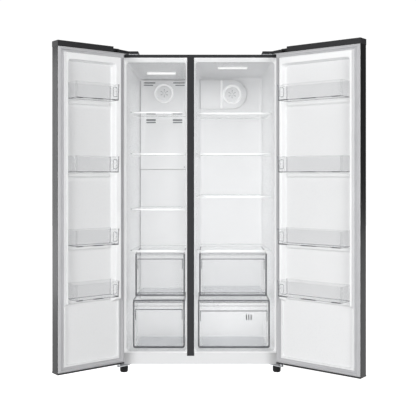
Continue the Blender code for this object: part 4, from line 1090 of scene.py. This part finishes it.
def machine_room_cover():
    """The slotted sheet over the machine room, with rounded slots and a screw at each corner."""
    low, high = local_box("machine_room_cover")
    rows, pitch, half_length, slot_height = 7, 0.025, 0.080, 0.008
    slots = []
    for middle in (-0.30, 0.23):
        for row in range(rows):
            z = 0.095 + pitch * row
            slot = rectangle(middle - half_length, middle + half_length, z, z + slot_height)
            slots.append(rounded(slot, 0.0035, 4))
    outline = rounded(rectangle(low.x, high.x, low.z, high.z), 0.006, 4)
    bm = flat_plate(outline, slots, low.y, high.y, 0.0005)
    piece("machine_room_sheet", bm, "cabinet", ["zinc_steel"], stands_for=["machine_room_cover"])
    inset = 0.012
    columns = (low.x + inset, 0.02, high.x - inset)
    places = [(x, high.y, z) for x in columns for z in (low.z + inset, high.z - inset)]
    screws("machine_room_screw", places, 0.0045, finish="zinc_steel", facing=-1)


def front_foot(node):
    """A levelling foot: a fluted cup on a threaded stem with a lock nut."""
    low, high = local_box(node)
    x, y = (low.x + high.x) / 2, (low.y + high.y) / 2
    radius = (high.x - low.x) / 2
    metal, cup = 1, 2
    profile = [
        (0.0005, 0), (radius * 0.80, 0), (radius * 0.93, 0.004), (radius * 0.955, 0.006),
        (radius * 0.985, 0.018), (radius * 0.99, 0.028), (radius * 0.93, 0.0305), (radius * 0.55, 0.0355),
        (0.0052, 0.0360),
    ]
    sides, flutes, fluted = 96, 24, (3, 4, 5)
    rings = []
    for number, (r, z) in enumerate(profile):
        depth = 0.0009 if number in fluted else 0.0
        ring = []
        for i in range(sides):
            turn = 2 * math.pi * i / sides
            reach = r - depth * (0.5 + 0.5 * math.cos(flutes * turn))
            ring.append((x + reach * math.cos(turn), y + reach * math.sin(turn), z))
        rings.append(ring)
    bm = bmesh.new()
    loft(bm, rings)
    for face in bm.faces:
        face.material_index = cup
    stem = [(0.0048, 0.0355)]
    while stem[-1][1] < high.z - 0.002:
        at = stem[-1][1]
        stem += [(0.0050, at + 0.0005), (0.0043, at + 0.0011)]
    turned(bm, [*stem, (0.003, high.z)], (x, y, 0), sides=24, index=metal)
    nut_radius, turns = 0.0085, [math.radians(60 * i) for i in range(6)]
    nut = [(x + nut_radius * math.cos(turn), y + nut_radius * math.sin(turn)) for turn in turns]
    nut = rounded(nut, 0.0008, 2)
    loft(bm, [ring_at(nut, 0.0362), ring_at(nut, 0.0410)], shade=lambda band, side: metal)
    finishes = ["black_plastic", "zinc_steel", "foot_black"]
    piece(node + "_cup", bm, node, finishes, stands_for=[node], sharp=50)


def rear_roller(node):
    """A grooved roller on its axle."""
    low, high = local_box(node)
    radius, end = (high.z - low.z) / 2, (high.x - low.x) / 2
    half, axle = 0.0115, 0.004
    profile = [
        (axle, -end), (axle, -half - 0.0005), (radius * 0.45, -half), (radius * 0.5, -half + 0.002),
        (radius * 0.82, -half + 0.002), (radius * 0.86, -half), (radius - 0.001, -half),
        (radius, -half + 0.001), (radius, -0.002), (radius - 0.0008, -0.0012),
    ]
    profile += [(r, -h) for r, h in reversed(profile)]
    bm = bmesh.new()
    turned(bm, profile, (low + high) / 2, "X")
    piece(node + "_wheel", bm, node, ["grey_plastic"], stands_for=[node], sharp=40)


# ---------------------------------------------------------------- assembly


SHARP = math.radians(35)


def finish_cad(finish, bevel, nodes):
    """Gives carried-over CAD nodes a procedural surface, and rounds their edges where asked."""
    for node in nodes:
        obj = NODES[node]
        obj.data.materials.clear()
        obj.data.materials.append(FINISHES[finish])
        obj.data.shade_smooth()
        obj.data.set_sharp_from_angle(angle=SHARP)
        if bevel:
            modifier(
                obj, "BEVEL", width=bevel, segments=3, limit_method="ANGLE", angle_limit=SHARP,
                harden_normals=True,
            )


# The darker edge finish is painted shade for the refraction at the clear plastic's edges.
WIDE_RIM = (3, 4, 5, 6)  # the drawer's rim, down both its sides, has the darker edge finish
TRIM_INSET = {"freezer": 0.012, "fridge": 0.004}
BOTH = ("left", "right")
ENDS = ("top", "bottom")

cabinet_shell()
rooms = {
    "freezer": compartment("freezer_liner", *FREEZER_X, FREEZER_CEILING_BACK, (-0.4345, -0.0738)),
    "fridge": compartment("fridge_liner", *FRIDGE_X, FRIDGE_CEILING_BACK, (-0.0328, 0.4345)),
}
for prefix, (left, right, ceiling, depth) in rooms.items():
    shelf_tops = [local_box(f"{prefix}_shelf_{i}")[1].z for i in (1, 2, 3)]
    wall_ribs(f"{prefix}_shelf_ledges", shelf_tops, left, right, depth, 0.0065, 0.0035)
    for number in (1, 2, 3):
        node = f"{prefix}_shelf_{number}"
        glass_shelf(node, node, TRIM_INSET[prefix])
    glass_shelf(f"{prefix}_drawer_cover", "cabinet", TRIM_INSET[prefix])
    upper, lower = f"{prefix}_drawer_upper", f"{prefix}_drawer_lower"
    drawer(upper, upper, corner=0.006, drop=0.038)
    if prefix == "freezer":
        drawer(lower, lower, corner=0.016, drop=0.054, grip=0.6, rim_bands=WIDE_RIM)
    else:
        drawer(lower, lower, corner=0.016, drop=0.062, slots=3, rim_bands=WIDE_RIM)
    ceiling_lamp(f"{prefix}_lamp", ceiling)
evaporator_cover()
duct_cover()

for prefix, side in (("freezer", -1), ("fridge", 1)):
    door = Door(prefix, side)
    door_shell(door)
    door_liner(door)
    door_gasket(door)
    for number in range(1, 5):
        door_bin(door, number)

back_panel()
machine_room_cover()
for side in BOTH:
    front_foot(f"front_foot_{side}")
    rear_roller(f"rear_roller_{side}")

door_caps = [f"{prefix}_door_{end}_cap" for prefix in rooms for end in ENDS]
finish_cad("black_plastic", 0.0015, door_caps)
finish_cad("black_plastic", 0.003, [f"hinge_cover_{side}" for side in BOTH])
finish_cad("zinc_steel", 0.0006, [f"{end}_hinge_{side}" for end in ENDS for side in BOTH])
finish_cad("mullion_grey", 0.0012, ["mullion_cover"])
finish_cad("kick_white", 0.0015, ["kick_panel"])
finish_cad("zinc_steel", 0.0008, ["base_pan"])
finish_cad("black_paint", 0.002, ["compressor"])
finish_cad("condenser_black", 0, ["condenser"])
finish_cad("black_plastic", 0.001, ["power_inlet"])
finish_cad("grey_plastic", 0.001, ["condenser_fan", "evaporator_fan_motor", "drip_tray"])
finish_cad("grey_plastic", 0.0006, ["evaporator_fan"])
finish_cad("bare_aluminium", 0, ["evaporator"])

# ---------------------------------------------------------------- floor, light, camera


def floor():
    """A wide pale plate with rounded corners."""
    half, corner = 12.0, 2.0
    bm = bmesh.new()
    corners = rounded(rectangle(-half, half, -half, half), corner, 6)
    bm.faces.new([bm.verts.new((x, y, 0)) for x, y in corners])
    mesh = bpy.data.meshes.new("floor")
    bm.to_mesh(mesh)
    bm.free()
    obj = bpy.data.objects.new("floor", mesh)
    bpy.context.scene.collection.objects.link(obj)
    mesh.materials.append(FINISHES["pale_floor"])
    obj.visible_diffuse = False


def softbox(name, place, target, size, power):
    light = bpy.data.lights.new(name, "AREA")
    light.shape = "RECTANGLE"
    light.size, light.size_y = size
    light.energy = power
    obj = bpy.data.objects.new(name, light)
    bpy.context.scene.collection.objects.link(obj)
    obj.location = place
    obj.rotation_euler = (Vector(target) - Vector(place)).to_track_quat("-Z", "Y").to_euler()
    obj.visible_camera = False
    return light


def studio_world(seen, lit_left, lit_right):
    """White to the camera; what it lights gets a softer grey that falls from left to right."""
    world = bpy.data.worlds.new("studio")
    world.use_nodes = True
    nodes, links = world.node_tree.nodes, world.node_tree.links
    back = nodes["Background"]
    back.inputs["Color"].default_value = (1, 1, 1, 1)
    where = nodes.new("ShaderNodeTexCoord")
    parts = nodes.new("ShaderNodeSeparateXYZ")
    across = nodes.new("ShaderNodeMapRange")
    across.inputs["From Min"].default_value = -1
    across.inputs["To Min"].default_value = lit_left
    across.inputs["To Max"].default_value = lit_right
    path = nodes.new("ShaderNodeLightPath")
    level = nodes.new("ShaderNodeMix")
    level.inputs["B"].default_value = seen
    links.new(where.outputs["Generated"], parts.inputs["Vector"])
    links.new(parts.outputs["X"], across.inputs["Value"])
    links.new(across.outputs["Result"], level.inputs["A"])
    links.new(path.outputs["Is Camera Ray"], level.inputs["Factor"])
    links.new(level.outputs["Result"], back.inputs["Strength"])
    bpy.context.scene.world = world


FILL_POWER = {"freezer": 0.50, "fridge": 0.72}
FILL_Y = 0.06
FILL_Z = 0.84
SOFTBOX_SIZE = (2.6, 2.6)
aim = ORIGIN + Vector((0, 0.2, 0.9))
floor()
studio_world(1.05, 0.62, 0.20)
softbox("left_softbox", ORIGIN + Vector((-3.0, -4.6, 1.7)), aim, SOFTBOX_SIZE, 116)
softbox("right_softbox", ORIGIN + Vector((3.0, -4.6, 1.7)), aim, SOFTBOX_SIZE, 120)
strip_place, strip_aim = ORIGIN + Vector((-3.6, 0.6, 1.0)), ORIGIN + Vector((-0.8, -0.5, 0.9))
softbox("left_strip", strip_place, strip_aim, (1.2, 2.4), 30)
for prefix, (left, right, ceiling, depth) in rooms.items():
    place = ORIGIN + Vector(((left(FILL_Y) + right(FILL_Y)) / 2, FILL_Y, FILL_Z))
    size = (right(FILL_Y) - left(FILL_Y) - 0.05, 1.40)
    light = softbox(f"{prefix}_fill", place, place + Vector((0, 1, 0)), size, FILL_POWER[prefix])
    light.spread = math.radians(95)

# The photograph's viewpoint: about 4 m in front of the cabinet, level, at the height of its middle shelves.
camera_data = bpy.data.cameras.new("camera")
camera_data.sensor_width = 36
camera_data.lens = 65.09
camera_data.shift_y = -0.0788
camera_data.clip_end = 60
camera = bpy.data.objects.new("camera", camera_data)
bpy.context.scene.collection.objects.link(camera)
camera.location = ORIGIN + Vector((0.0422, -4.129, 1.0894))
camera.rotation_euler = (math.radians(90), 0, 0)
bpy.context.scene.camera = camera
bpy.context.scene.view_settings.view_transform = "Standard"
bpy.context.scene.cycles.transparent_max_bounces = 48
